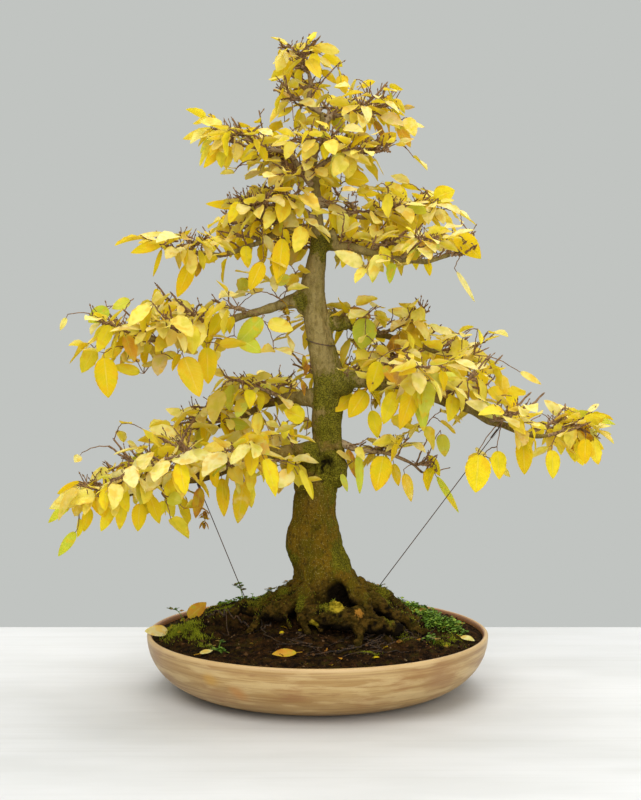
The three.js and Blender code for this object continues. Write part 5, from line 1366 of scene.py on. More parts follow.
def make_pot():
    """The bowl, turned from its profile: a round lip, slightly uneven from the hand, then two drain holes."""
    rise = np.linspace(0, 1, 30) ** 1.5
    outer = [(outer_radius(z), z) for z in rise * OUTER_TOP]
    turn = np.linspace(0, np.pi, 9)[1:-1]
    lip = [(LIP_MIDDLE + LIP_RADIUS * math.cos(t), LIP_HEIGHT + LIP_RISE * math.sin(t)) for t in turn]
    inner = [(inner_radius(z), z) for z in BOWL_FLOOR + (INNER_TOP - BOWL_FLOOR) * rise[::-1]]
    floor = [(inner_radius(BOWL_FLOOR + 0.2) * s, BOWL_FLOOR) for s in (0.9, 0.6, 0.3)]
    base = [(0, 0)] + [(FOOT_HALF_LENGTH * s, 0) for s in (0.3, 0.6, 0.9, 0.985)]

    def wobble(angle, height):
        uneven = 0.0016 * np.sin(2 * angle + 1) + 0.0012 * np.sin(5 * angle + height / 20)
        return 0.9972 + uneven * height / BOWL_HEIGHT

    shape = lathed(base + outer + lip + inner + floor + [(0, BOWL_FLOOR)], 168, wobble)
    pot = set_mesh("glazed_bowl", *shape[:3], sharp=40)
    cutters = []
    for side in (-1, 1):
        run = [[(side * DRAIN_OFFSET, 0, -BOWL_WALL), (side * DRAIN_OFFSET, 0, 2 * BOWL_FLOOR)]]
        cutter = set_mesh("drain_cutter", *tubes(run, np.full((1, 2), DRAIN_RADIUS), 32)[:3])
        hole = pot.modifiers.new("hole", "BOOLEAN")
        hole.object, hole.operation, hole.solver = cutter, "DIFFERENCE", "EXACT"
        cutters.append(cutter)
    mesh = baked(pot)
    for cutter in cutters:
        bpy.data.objects.remove(cutter)
    place, _ = read_points(mesh)
    reach = np.hypot(place[:, 0], place[:, 1] * RIM_HALF_LENGTH / RIM_HALF_DEPTH)
    wall = np.minimum(LIP_MIDDLE - 0.6, outer_radius(np.minimum(place[:, 2], BOWL_HEIGHT)) - 2.4)
    inside = np.clip((wall - reach) / 1.2, 0, 1) * (place[:, 2] > BOWL_FLOOR - 0.5)
    set_value(mesh, "inside", inside)
    fix(pot, glaze_finish(), "glaze", "pot")


def out_share(x, y, inset=0):
    """How far out a place lies: 0 at the middle and 1 at the soil's edge, or at the inset from it."""
    return np.hypot(x / (SOIL_HALF_LENGTH - inset), y / (SOIL_HALF_DEPTH - inset))


def ground(x, y):
    """The mound's height: most at the trunk, less at its front, with a bank at the left and a smaller one at
    the right of the front."""
    q = np.minimum(1, out_share(x, y))
    front = np.clip((-y - 8) / 30, 0, 1)
    front = front * front * (3 - 2 * front) * np.minimum(1, (1 - q) / 0.35)
    bank = np.exp(-((x + 126) / 26) ** 2 - ((y + 36) / 26) ** 2) * np.minimum(1, 8 * (1 - q))
    peat = 9 * np.exp(-((x - 80) / 26) ** 2 - ((y + 50) / 19) ** 2) * np.minimum(1, 8 * (1 - q))
    lumps = 0.7 * np.sin(0.11 * x + 1) * np.sin(0.13 * y) * (1 - q)
    mound = MOUND_HEIGHT * (1 - q ** 2.2) ** 1.1
    return SOIL_EDGE + mound - FRONT_DROP * front + LEFT_BANK * bank + peat + lumps


def crumbled(x, y):
    """The ground with clods: noise of three sizes that fades towards the rim."""
    flat = np.stack([x, y, 0 * x], -1)
    q = np.minimum(1, out_share(x, y))
    clods = 1.8 * noise(flat / 17, 1) + 1.5 * noise(flat / 7, 2) + 0.8 * noise(flat / 2.8, 3)
    return ground(x, y) + clods * np.clip((1 - q) * 9, 0.12, 1) - 0.5


# Beds of moss on the mound: x and y of the centre, spread along x and y
MOSS_BEDS = [
    (-136, -30, 18, 14), (-120, -44, 14, 10), (72, -34, 12, 6), (-96, 16, 20, 9), (-150, -12, 7, 8),
    (134, -34, 12, 8), (-112, -62, 9, 6), (92, 34, 20, 14), (-40, 76, 26, 18), (34, 96, 22, 14),
    (-104, 58, 18, 14), (48, -94, 14, 5), (76, -56, 16, 7), (126, -52, 16, 7), (100, 6, 20, 14),
]


def make_soil():
    """The mound: a disc of rings whose height is the crumbled ground, closed below along the bowl's inner
    wall. The rings of the surface have no height until the ground gives it."""
    wall = [(inner_radius(z) - 0.3, z + 0.3) for z in np.linspace(BOWL_FLOOR + 0.2, SOIL_EDGE - 0.5, 14)]
    share = np.concatenate([[0.992], np.linspace(0.975, 0.006, 110)])
    surface = [(q * (RIM_HALF_LENGTH - 5.2), np.nan) for q in share]
    profile = [(0, BOWL_FLOOR + 1.5), (60, BOWL_FLOOR + 1.5)] + wall + surface + [(0, np.nan)]
    points, quads, tris, uv = lathed(profile, 260)
    top = np.isnan(points[:, 2])
    points[top, 2] = crumbled(points[top, 0], points[top, 1])
    green = np.zeros(len(points))
    for x, y, wide, deep in MOSS_BEDS:
        bed = np.exp(-((points[:, 0] - x) / wide) ** 2 - ((points[:, 1] - y) / deep) ** 2)
        green = np.maximum(green, bed)
    mound = set_mesh("soil_mound", points, quads, tris, uv, None, {"green": green * top})
    fix(mound, soil_finish(), "soil", "soil")


def strewn(count, inset, nearest, farthest):
    """Random places on the mound between two shares of its area: angle, x and y."""
    angle, q = rng.uniform(0, 2 * np.pi, count), np.sqrt(rng.uniform(nearest, farthest, count))
    x, y = q * (SOIL_HALF_LENGTH - inset) * np.cos(angle), q * (SOIL_HALF_DEPTH - inset) * np.sin(angle)
    return angle, x, y


def make_grit():
    """Crumbs strewn over the mound, small ones many and large ones few, each an eight-faced body."""
    count = 5200
    _, x, y = strewn(count, 1, 0.02, 0.955)
    size = 0.7 + 2.3 * rng.uniform(0, 1, count) ** 5
    ways = unit(rng.normal(size=(count, 3)))
    feet = np.stack([x, y, crumbled(x, y)], -1) - ways * size[:, None]
    shapes = Shapes()
    crumbs = spindles(feet, ways, 2 * size, size * rng.uniform(0.5, 0.9, count))
    shapes.add(crumbs, tone=np.repeat(rng.uniform(0, 1, count) ** 1.3, 6))
    fix(shapes.piece("loose_crumbs", sharp=20), grain_finish(), "soil")


# Moss on the bark: centre and reach
MOSSY = [
    ((28, -6, 366), 14), ((-18, -8, 392), 11), ((6, -8, 448), 16), ((12, -10, 300), 22), ((14, -10, 264), 20),
    ((9, -12, 226), 20), ((-6, -14, 240), 12), ((-14, -6, 350), 8), ((-62, -12, 96), 18),
    ((-37, -20, 100), 12), ((-17, -44, 94), 12), ((8, -58, 96), 9), ((66, 0, 98), 14), ((46, -40, 98), 10),
    ((72, -24, 90), 9), ((70, -60, 83), 9), ((-30, -8, 134), 12), ((28, -10, 134), 14), ((12, 18, 260), 18),
    ((4, 14, 330), 16), ((10, 22, 120), 20), ((-2, 12, 420), 10),
]
# Cut faces and bare wood, and young yellow-green wood: centre and reach
CUTS = [
    ((41, -70, 91), 6.5), ((-148, -80, 205), 5), ((36, -6, 374), 4), ((9, -14, 449), 3), ((53, -51, 84), 4),
]
YOUNG = [
    ((34, -33, 108), 6), ((43, -43, 100), 5), ((19, -60, 95), 8), ((-24, -50, 78), 6), ((-3, -58, 78), 6),
]
# Rugged bark round the knots: centre and reach
RUGGED = [((10, -10, 227), 21), ((-19, -6, 392), 10), ((28, -6, 366), 11), ((10, -10, 449), 10)]
# Moss blades on the roots: centre and reach
ROOT_MOSS = [
    ((-62, -10, 90), 32), ((-100, -12, 76), 20), ((-22, -38, 92), 20), ((10, -52, 92), 16),
    ((66, -2, 94), 22), ((92, -20, 76), 16), ((0, 60, 84), 40), ((-70, 20, 84), 26),
]


def near(points, spots, power=2):
    """The largest of the spots' shares at each point: e to the minus (distance over reach) to the power."""
    share = np.zeros(len(points))
    for at, reach in spots:
        apart = np.linalg.norm(points - np.array(at), axis=1) / reach
        share = np.maximum(share, np.exp(-apart ** power))
    return share


def thick_stem(path, radii, rows, sides, wander, seed, flare=None):
    """A wooden stem along its smooth curve: the radius between the radii given, swollen and thinned by
    noise, the line wandering by noise, with a flared foot where it leaves the trunk."""
    t = np.linspace(0, 1, rows)
    line = along(path, t)
    radius = read_off(radii, t)
    fade = np.sin(np.pi * np.clip(t * 4, 0, 0.5)) * np.sin(np.pi * np.clip((1 - t) * 4, 0, 0.5))
    for axis in range(3):
        line[:, axis] += wander * fade * noise(line / 15, seed + axis)
    radius = radius * (1 + 0.14 * noise(line / 8, seed + 5))
    if flare is not None:
        run = np.concatenate([[0], np.cumsum(np.linalg.norm(np.diff(line, axis=0), axis=1))])
        radius = radius * (1 + 0.55 * np.exp(-np.maximum(0, run - flare) / 8))
    turn = np.stack([np.cos(full_turn(sides)), np.sin(full_turn(sides))], -1)
    turn = np.broadcast_to(turn, (rows, sides, 2))
    run = np.broadcast_to((t * rows / 7)[:, None, None], (rows, sides, 1))
    spread = np.concatenate([turn * 1.3, run], -1)
    return tubes(line[None], radius[None], sides, 1 + 0.1 * noise(spread, seed + 9)[None])


TRUNK_SIDES = 40
SKIN_CELL = 1.45


def make_trunk():
    """The tree's thick wood: trunk, roots, burrs, stubs and main limbs as one skin, then bark relief pushed
    out along the surface's own direction by noise, pulled in at the hollows and raised round the knot
    holes. Gives back the points and directions of the roots' upper sides."""
    shapes = Shapes()
    t = np.linspace(0, 1, 130)
    line = along(TRUNK_LINE, t)
    angle = full_turn(TRUNK_SIDES)
    z = line[:, 2:]
    flute = 0.05 * np.sin(3 * angle + z / 40) + 0.035 * np.sin(5 * angle - z / 28 + 1)
    flute = flute + 0.02 * np.sin(8 * angle + z / 15)
    flute = 1 + flute * np.clip((520 - z) / 200, 0.2, 1)
    shapes.add(tubes(line[None], read_off(TRUNK_RADII, t)[None], TRUNK_SIDES, flute[None]))
    for number, (path, radii) in enumerate(ROOTS):
        shapes.add(thick_stem(path, radii, 44, 16, 2.6, 40 + 11 * number))
    for number, (path, radii) in enumerate(STUBS):
        shapes.add(thick_stem(path, radii, 12, 16, 0.3, 300 + 11 * number))
    for at, size in BURRS:
        shapes.add(ellipsoid(at, size))
    for row in LIMBS:
        if not row["whole"]:
            start = np.interp(row["path"][0][2], TRUNK_LINE[:, 2], TRUNK_RADII)
            shapes.add(thick_stem(row["path"], row["radii"], 90, 14, 1.5, row["seed"], start))
    trunk = shapes.piece("trunk_and_roots")
    skin = trunk.modifiers.new("skin", "REMESH")
    skin.mode, skin.voxel_size, skin.use_smooth_shade = "VOXEL", SKIN_CELL * MM, True
    soft = trunk.modifiers.new("soft", "SMOOTH")
    soft.iterations, soft.factor = 3, 0.5
    mesh = baked(trunk)
    place, normal = read_points(mesh)

    girth, apart = np.zeros(len(place)), np.full(len(place), 1e9)
    samples = [WOOD]
    for path, radii in ROOTS:
        share = np.linspace(0, 1, 20)
        samples.append(np.column_stack([along(path, share), read_off(radii, share)]))
    for x, y, z, r in np.concatenate(samples):
        away = np.sqrt((place[:, 0] - x) ** 2 + (place[:, 1] - y) ** 2 + (place[:, 2] - z) ** 2) - r
        closer = away < apart
        apart[closer], girth[closer] = away[closer], r
    weight = np.clip(girth / 13, 0.12, 1.15)
    lumps = noise(place / [13, 13, 24], 61)
    ridges = 1 - 2 * np.abs(noise(place / [5.5, 5.5, 17], 62))
    cracks = np.abs(noise(place / [3.2, 3.2, 6.5], 63)) ** 0.7
    rough = noise(place / 2.4, 64)
    knobs = np.clip(noise(place / 9, 65), 0.25, 1) - 0.25
    low = np.clip((150 - place[:, 2]) / 40, 0, 1)
    base = np.clip((122 - place[:, 2]) / 16, 0, 1)
    clumps = noise(place / [9, 9, 6], 66)
    middle = np.exp(-((place[:, 2] - 222) / 30) ** 2)
    relief = 0.8 * lumps + 0.45 * ridges * (1 + low) + 0.5 * (cracks - 0.4) + 0.3 * rough
    relief = weight * (relief + 1.6 * knobs * (0.3 + low + middle))
    relief += weight * base * (1.9 * clumps + 0.8 * ridges + 0.5 * rough)
    rugged = near(place, RUGGED)
    coarse = (1.7 * base * (girth < 20) + 1.8 * rugged) * noise(place / 4.6, 68)
    relief += coarse + (0.6 * base + 0.9 * rugged) * rough
    away = [np.linalg.norm(place - np.array(at), axis=1) / reach for at, reach, _ in HOLLOWS]
    dents = sum(row[2] * np.exp(-share ** 2) for share, row in zip(away, HOLLOWS))
    rims = sum(height * np.exp(-((np.linalg.norm(place - np.array(at), axis=1) - reach) / 3.5) ** 2)
               for at, reach, height in RIMS) * (0.7 + 0.6 * noise(place / 5, 67))
    place += normal * (relief - dents + rims)[:, None]
    mesh.vertices.foreach_set("co", (place * MM).astype(np.float32).ravel())
    mesh.update()

    # Painted shade, stored as one value: the roots' lower sides near the foot, bark just above the soil that
    # does not face up, the crevices of the relief and the hollows are darkened as if in shadow
    under = np.clip(-normal[:, 2] * 1.8, 0, 1) * np.clip((114 - place[:, 2]) / 10, 0, 1)
    above = place[:, 2] - ground(place[:, 0], place[:, 1])
    under += np.clip(1 - above / 7, 0, 1) * np.clip(1.2 - 1.5 * normal[:, 2], 0, 1) * 0.7
    crevice = np.clip(-relief / weight * 0.9 - 0.45, 0, 1) * (0.35 + 0.65 * np.maximum(low, middle))
    # Partly painted shade: besides the mossy spots, bark on the trunk's left and right flanks, most on the
    # right, is given the green of the mossy bark to stand for the shade on the sides turned from the light
    right = np.clip((place[:, 0] - np.interp(place[:, 2], TRUNK_LINE[:, 2], TRUNK_LINE[:, 0])) / 16, -1, 1)
    side = (0.12 + 0.3 * np.abs(right) ** 1.5 + 0.1 * right) * ((place[:, 2] > 120) & (girth > 7))
    set_value(mesh, "hollow", np.clip(crevice + under + 0.2 * dents, 0, 0.95))
    set_value(mesh, "moss", np.clip(near(place, MOSSY) * 0.95 + side, 0, 1))
    set_value(mesh, "cut", near(place, CUTS))
    set_value(mesh, "young", near(place, YOUNG, 4))
    fix(trunk, bark_finish(), "bark", "tree")
    top = (place[:, 2] < 118) & (normal[:, 2] > 0.35) & (np.hypot(place[:, 0], place[:, 1]) < 125)
    return place[top], normal[top]


def make_rootlets():
    """Fine roots wandering outwards over the mound: each turns at random as it goes and follows the
    ground."""
    count, rows = 38, 16
    turn = rng.uniform(0, 2 * np.pi, count)
    turn[:20] = rng.uniform(-1.2, -0.35, 20)
    share = np.linspace(0, 1, rows)
    start, length = rng.uniform(46, 92, count), rng.uniform(20, 52, count)
    reach = start[:, None] + length[:, None] * share
    wander = np.cumsum(rng.normal(0, 0.07, (count, rows)), 1)
    bend = turn[:, None] + (wander + rng.normal(0, 0.5, count)[:, None] * share)
    x, y = reach * np.cos(bend) * 1.05, reach * np.sin(bend) * 0.95
    girth = rng.uniform(0.5, 1.5, count)[:, None] * (1 - 0.72 * share)
    lift = rng.uniform(-0.6, 1.6, count)[:, None] * np.sin(np.pi * share) * 2
    paths = np.stack([x, y, crumbled(x, y) + lift - 1.6 * share ** 6], -1)
    shapes = Shapes()
    add_stems(shapes, paths, girth, 7)
    dark = Finish("rootlet_bark")
    grain = dark.grain((2, 2, 5), 4.0)
    colour = dark.mix(grain.rise(0.4, 0.65), shade(30, 20, 9), shade(86, 60, 32))
    fix(shapes.piece("fine_roots"), dark.done(colour, 0.85, dark.bump(grain, 0.4)), "bark")


ROOT_BLADES = 5200


def make_moss(root_points, root_normals):
    """Moss: short pointed blades standing in beds on the mound and over the roots' upper sides."""
    shapes = Shapes()
    feet, ways, tall = [], [], []
    for number, (x, y, wide, deep) in enumerate(MOSS_BEDS):
        count = int(wide * deep * (4.6 if number < 5 else 2.6))
        px, py = x + rng.normal(0, wide * 0.5, count), y + rng.normal(0, deep * 0.5, count)
        hush = noise(np.stack([px, py, 0 * px], -1) / 6, 77) > -0.35
        kept = hush & (out_share(px, py, 3) < 0.985)
        px, py = px[kept], py[kept]
        feet.append(np.stack([px, py, crumbled(px, py) - 0.6], -1))
        ways.append(rng.normal(0, 0.42, (len(px), 3)) + UP)
        tall.append(rng.uniform(1.8, 5.2 if number < 2 else 3.4, len(px)))
    score = near(root_points, ROOT_MOSS) * (0.5 + 0.5 * noise(root_points / 7, 78))
    picked = np.flatnonzero(score > rng.uniform(0.1, 1.2, len(root_points)))
    picked = rng.permutation(picked)[:ROOT_BLADES]
    feet.append(root_points[picked] + rng.normal(0, 0.4, (len(picked), 3)) - root_normals[picked] * 0.4)
    ways.append(root_normals[picked] + UP * 0.6 + rng.normal(0, 0.4, (len(picked), 3)))
    tall.append(rng.uniform(1.1, 2.6, len(picked)))
    feet, ways, tall = np.concatenate(feet), np.concatenate(ways), np.concatenate(tall)
    tone = 0.5 + 0.35 * noise(feet / 9, 79) + rng.uniform(-0.22, 0.22, len(feet))
    tone += 0.16 * (feet[:, 0] < -90)
    shapes.add(spikes(feet, ways, tall, rng.uniform(0.35, 0.6, len(feet))), tone=np.repeat(tone, 4))
    fix(shapes.piece("moss_blades", sharp=20), moss_finish(), "weed")


def leaf_table(leaves, curl=1.0):
    """Whole arrays of a list of leaves, with each leaf's own twist, wave, brightness and painted highlight
    bias.
    """
    table = {key: np.array([leaf[key] for leaf in leaves], float)
             for key in ("base", "ahead", "facing", "length", "width", "bend", "fold", "tone")}
    count = len(leaves)
    table["twist"] = rng.uniform(-0.4, 0.4, count) * curl
    table["wave"] = rng.uniform(0.02, 0.2, count) * curl
    table["turn"] = rng.uniform(0, 6.3, count)
    table["shade"] = rng.uniform(0.84, 1.05, count)
    table["highlight_bias"] = rng.normal(0, 0.25, count)
    return table


def scattered_leaves(feet, ways, facings, lengths, ratio, tones, bend=0.1, fold=0.15):
    """A leaf table from arrays: each points along its way and faces as nearly as it can along its facing."""
    ahead = unit(ways)
    facing = unit(facings - ahead * (facings * ahead).sum(1, keepdims=True))
    count = len(feet)
    return dict(base=feet, ahead=ahead, facing=facing, length=lengths, width=lengths * ratio,
                bend=np.full(count, bend), fold=np.full(count, fold), tone=tones,
                twist=rng.uniform(-0.3, 0.3, count), wave=rng.uniform(0.0, 0.15, count),
                turn=rng.uniform(0, 6.3, count), shade=rng.uniform(0.8, 1.1, count),
                highlight_bias=np.full(count, -1.0))


def golden_ways(count, flat, rise):
    """Directions turned by the golden turn from one to the next, flattened along y, with the rise given."""
    turn = GOLDEN_TURN * np.arange(count)
    return np.stack([np.cos(turn), flat * np.sin(turn), rise], -1)


def upwards(count, spread):
    """Directions about straight up."""
    return UP + rng.normal(0, spread, (count, 3))


# Beds of creepers: x and y of the centre, spread along x and y, number of leaflets
COVER_BEDS = [
    (118, -8, 18, 15, 330), (98, 22, 18, 12, 130), (138, -12, 8, 12, 90), (112, -44, 5, 7, 26),
    (-84, 44, 16, 12, 60), (30, 112, 24, 10, 80), (-94, -80, 5, 5, 26), (72, 72, 16, 12, 60),
]


def make_ground_cover():
    """Low round-leaved creepers: many small leaflets held level just over the soil on short stalks."""
    shapes = Shapes()
    for x, y, wide, deep, count in COVER_BEDS:
        px, py = x + rng.normal(0, wide * 0.55, count), y + rng.normal(0, deep * 0.55, count)
        inside = out_share(px, py, 4) < 0.97
        px, py = px[inside], py[inside]
        count = len(px)
        lift = rng.uniform(0.8, 3.6, count)
        foot = np.stack([px, py, crumbled(px, py)], -1)
        turn = rng.uniform(0, 2 * np.pi, count)
        out = np.stack([np.cos(turn), np.sin(turn), rng.uniform(-0.1, 0.5, count)], -1)
        base = foot + UP * lift[:, None] + out * 1.2
        stalks = np.stack([foot - UP, foot + UP * lift[:, None] * 0.6, base + out * 0.4], 1)
        add_stems(shapes, stalks, 0.22, 4, tone=0.25)
        tones = np.clip(rng.uniform(0.05, 0.8, count) ** 1.2 + 0.2 * (rng.uniform(0, 1, count) > 0.93), 0, 1)
        facings = upwards(count, 0.35)
        table = scattered_leaves(base, out, facings, rng.uniform(2.4, 4.4, count), 0.48, tones)
        add_blades(shapes, table, 5, 2, 0.3, 0.0, 0.0)
    fix(shapes.piece("ground_cover", sharp=60), herb_finish(), "weed")


# The feet of the part's three weeds, marked on the photograph
WEED_FEET = seen_at((244, 604, 18), (253, 600, 20), (186, 618, 10))[:, :2]
# Weeds: x and y of the foot on the ground, the stem's top, number of leaflets, their length
WEEDS = [
    (*WEED_FEET[0], (-84, 18, 103), 9, 6.6), (*WEED_FEET[1], (-46, 22, 98), 11, 5.2),
    (*WEED_FEET[2], (-150, 8, 80), 8, 5.2),
]
MORE_WEEDS = [
    (-40, 16, (-31, 14, 107), 9, 4.4), (-98, -74, (-94, -78, 67), 6, 4.6), (60, 44, (66, 50, 96), 6, 5),
    (-20, 90, (-28, 96, 88), 6, 5), (-102, -80, (-104, -84, 64), 4, 3.6), (112, -52, (114, -56, 62), 4, 6),
]
LEAFLET_TONES = (0.05, 0.2, 0.3, 0.86, 0.88, 0.94)


def on_ground(x, y, lift):
    """The point so far over the ground at x and y."""
    return np.array([x, y, ground(np.float64(x), np.float64(y)) + lift])


def make_weeds(name, rows, *replaced):
    """Each weed is a thin curved stem with leaflets turned about it by the golden turn, one to the next."""
    shapes = Shapes()
    for x, y, top, count, size in rows:
        foot, top = on_ground(x, y, -7), np.array(top, float)
        points = np.array([foot, foot + (top - foot) * 0.6 + (2, 0, 3), top - UP * 2])
        stem = along(points, np.linspace(0, 1, 12))
        add_stems(shapes, stem[None], np.linspace(0.5, 0.3, 12), 6, tone=0.42)
        feet = along(points, np.linspace(0.52, 0.99, count))
        out = golden_ways(count, 0.7, np.full(count, 0.28))
        tones = rng.choice(LEAFLET_TONES, count)
        table = scattered_leaves(feet + out * 0.8, out, upwards(count, 0.2),
                                 size * rng.uniform(0.75, 1.05, count), 0.44, tones)
        add_blades(shapes, table, 8, 2, 0.35, 0.0, 0.0)
        stalks = np.stack([feet, feet + out * 0.8, feet + out * 1.6], 1)
        add_stems(shapes, stalks, 0.25, 4, tone=0.42)
    fix(shapes.piece(name, sharp=60), herb_finish(), "weed", *replaced)


# Fallen leaves: stalk end, tip, half width, tone, lean to the front and the bias of the painted highlight on
# the skin that faces up; heights come from the ground unless they are given
FALLEN = [
    ((-131, 0), (-113, 8, 84), 8.5, 0.962, 0.9, -1), ((-150, -18, 60.2), (-173, -22, 61), 8, 0.985, 0.7, 0.2),
    ((-20, -101), (-43, -108), 6, 0.962, 0.5, -1), ((-112, -94), (-100, -88), 3.5, 0.86, 0.4, -0.3),
    ((143, -30), (155, -42), 5, 0.86, 0.3, 0),
]
SCRAP_TONES = (0.7, 0.97, 0.985, 1.0)
SCRAP_CHANCES = (0.1, 0.2, 0.35, 0.35)


def make_fallen():
    """Leaves lying on the soil and over the rim, curled at the edges."""
    rows = []
    for base, tip, half, tone, lean, _ in FALLEN:
        base, tip = (on_ground(*p, 2.6) if len(p) == 2 else np.array(p, float) for p in (base, tip))
        run = tip - base
        ahead = unit(run)
        front = UP - BACK * lean
        facing = unit(front - ahead * (front @ ahead))
        rows.append(dict(base=base, ahead=ahead, facing=facing, length=np.linalg.norm(run), width=half,
                         bend=-0.04, fold=0.2, tone=tone))
    shapes = Shapes()
    table = leaf_table(rows, 0.35)
    table["highlight_bias"][:] = [row[-1] for row in FALLEN]
    add_blades(shapes, table, 24, 6, 0.4, 0.06, 0.22)
    stalks = np.stack([table["base"] + table["ahead"] * s for s in (1.0, -2.5, -6.0)], 1)
    # The stalk of the leaf on the rim curls up
    stalks[1, 1:] = stalks[1, :1] + np.array([[3, 2, 2.5], [5, 3, 6.5]])
    add_stems(shapes, stalks, 0.4, 6, tone=0.98, shade=0.9)
    fix(shapes.piece("fallen_leaves", sharp=60), leaf_finish(), "autumn", "fallen_leaf_amber",
        "fallen_leaf_rim", "fallen_leaf_orange", "fallen_leaf_front", "fallen_leaf_pale")


def make_scraps():
    """Scraps of older brown leaves, strewn over the soil."""
    count = 70
    angle, x, y = strewn(count, 6, 0.1, 0.9)
    ways = np.stack([np.cos(3 * angle), np.sin(3 * angle), rng.normal(0, 0.2, count)], -1)
    feet = np.stack([x, y, crumbled(x, y) + 0.8], -1)
    facings, lengths = upwards(count, 0.35), rng.uniform(3.5, 8, count)
    tones = rng.choice(SCRAP_TONES, count, p=SCRAP_CHANCES)
    table = scattered_leaves(feet, ways, facings, lengths, 0.36, tones, 0.15, 0.3)
    scraps = Shapes()
    add_blades(scraps, table, 6, 2, 0.3, 0.1, 0.0)
    fix(scraps.piece("leaf_scraps", sharp=60), leaf_finish(), "autumn")


GUY_RADIUS = 0.45
TWIST_TURNS = 7


def make_wires():
    """Round wire: two straight guys, each from a ring round its limb with its end wound round it, and a ring
    round the trunk."""
    for name, guy in zip(("guy_wire_left", "guy_wire_right"), GUYS):
        middle, ring, heading, line = guy_wire(*guy)
        shapes = Shapes()
        add_ring(shapes, middle, ring, heading, 0.5)
        run = along(line, np.linspace(0, 1, 24))
        run = np.concatenate([run, run[-1:] - unit(run[-1:] - middle) * 0.6])
        shapes.add(tubes(run[None], np.full((1, len(run)), GUY_RADIUS), 8))
        twist = np.linspace(0, 1, 60)
        around = line[1] + (line[0] - line[1]) * (0.004 + 0.05 * twist)[:, None]
        along_line = unit(line[1] - line[0])
        beside = unit(np.cross(along_line, BACK))
        other = np.cross(along_line, beside)
        curl = (2 * np.pi * TWIST_TURNS * twist)[:, None]
        around = around + 0.95 * (beside * np.cos(curl) + other * np.sin(curl))
        shapes.add(tubes(around[None], np.full((1, len(twist)), 0.4), 6))
        fix(shapes.piece(name.replace("guy_wire", "tied_guy"), sharp=60), wire_finish(), "wire", name)
    shapes = Shapes()
    heading = unit(np.array([0.22, -0.1, 1]))
    add_ring(shapes, np.array([3, -3, 350]), 14.6, heading, 0.55)
    fix(shapes.piece("trunk_tie", sharp=60), wire_finish(), "wire", "trunk_wire")


def add_ring(shapes, middle, ring, heading, girth):
    """A closed ring: a circle around a heading, each end run into the other."""
    across = unit(np.cross(heading, BACK if abs(heading[2]) > 0.7 else UP))
    other = np.cross(heading, across)
    turn = np.linspace(0, 2 * np.pi * 1.02, 62)[:, None]
    path = middle + ring * (across * np.cos(turn) + other * np.sin(turn))
    shapes.add(tubes(path[None], np.full((1, len(turn)), girth), 8))


def add_stems(shapes, paths, radii, sides, **values):
    """Adds round stems, storing each point's girth."""
    paths = np.asarray(paths, float)
    radii = np.broadcast_to(radii, paths.shape[:2])
    girth = np.concatenate([np.repeat(radii, sides, axis=1), radii[:, :1], radii[:, -1:]], 1).ravel()
    shapes.add(tubes(paths, radii, sides), girth=girth, **values)


def jointed(points, rows, kink):
    """Smooth curves bent a little from side to side, to and fro from row to row, as twigs are at buds."""
    t = np.linspace(0, 1, rows)
    lines = along(np.array(points), t)
    ahead = unit(lines[:, -1] - lines[:, 0])
    across = unit(np.cross(ahead, UP + 0.01))
    beside = np.cross(ahead, across)
    zigzag = kink * (np.arange(rows) % 2 - 0.5) * np.sin(np.pi * t) ** 0.3
    turn = rng.uniform(0, np.pi, len(lines))[:, None]
    way = across * np.cos(turn) + beside * np.sin(turn)
    return lines + way[:, None] * zigzag[:, None]


def carried_by(names, rows):
    return [row for row in rows if row["bough"]["limb"]["name"] in names]


def spray_names(names):
    """The part's sprays on the limbs named: one on a whole limb, and one for each bough of the others."""
    found = []
    for row in LIMBS:
        if row["name"] in names:
            ends = [""] if row["whole"] else [f"_{k + 1}" for k in range(row["boughs"])]
            found += [f"spray_{row['name']}{end}" for end in ends]
    return found


def knobbly(rows, height):
    """1 at every other row of a stem, and thicker by the height between them."""
    return 1 + height * (np.arange(rows) % 2)


def add_wood(wood, names):
    """A pad's slim limbs, boughs, twigs and the stems that leaves hang from. Gives back its twigs and
    boughs."""
    for row in LIMBS:
        if row["name"] in names and row["whole"]:
            start = np.interp(row["path"][0][2], TRUNK_LINE[:, 2], TRUNK_RADII)
            stem = thick_stem(row["path"], row["radii"], 40, 10, 0.9, row["seed"], start)
            wood.add(stem, girth=limb_radius(row, stem[3][:, 1]))
    own_boughs = [bough for bough in boughs if bough["limb"]["name"] in names]
    own_twigs = carried_by(names, twigs)
    lines = jointed([bough["points"] for bough in own_boughs], 16, 1.5)
    roots = np.array([bough["root"] for bough in own_boughs])[:, None]
    add_stems(wood, lines, (roots + (0.9 - roots) * np.linspace(0, 1, 16)) * knobbly(16, 0.22), 8)
    shoots = [twig for twig in own_twigs if twig["kind"] in ("twig", "fork", "shoot")]
    lines = jointed([twig["points"] for twig in shoots], 8, 0.9)
    girths = np.array([1.35 if twig["kind"] == "twig" else 0.95 for twig in shoots])[:, None]
    add_stems(wood, lines, girths * np.linspace(1, 0.62, 8) * knobbly(8, 0.25), 5)
    stems = [twig["points"] for twig in own_twigs if twig["kind"] == "stem"]
    if stems:
        add_stems(wood, jointed(stems, 7, 0.6), np.linspace(0.6, 0.42, 7), 5)
    return shoots, own_boughs


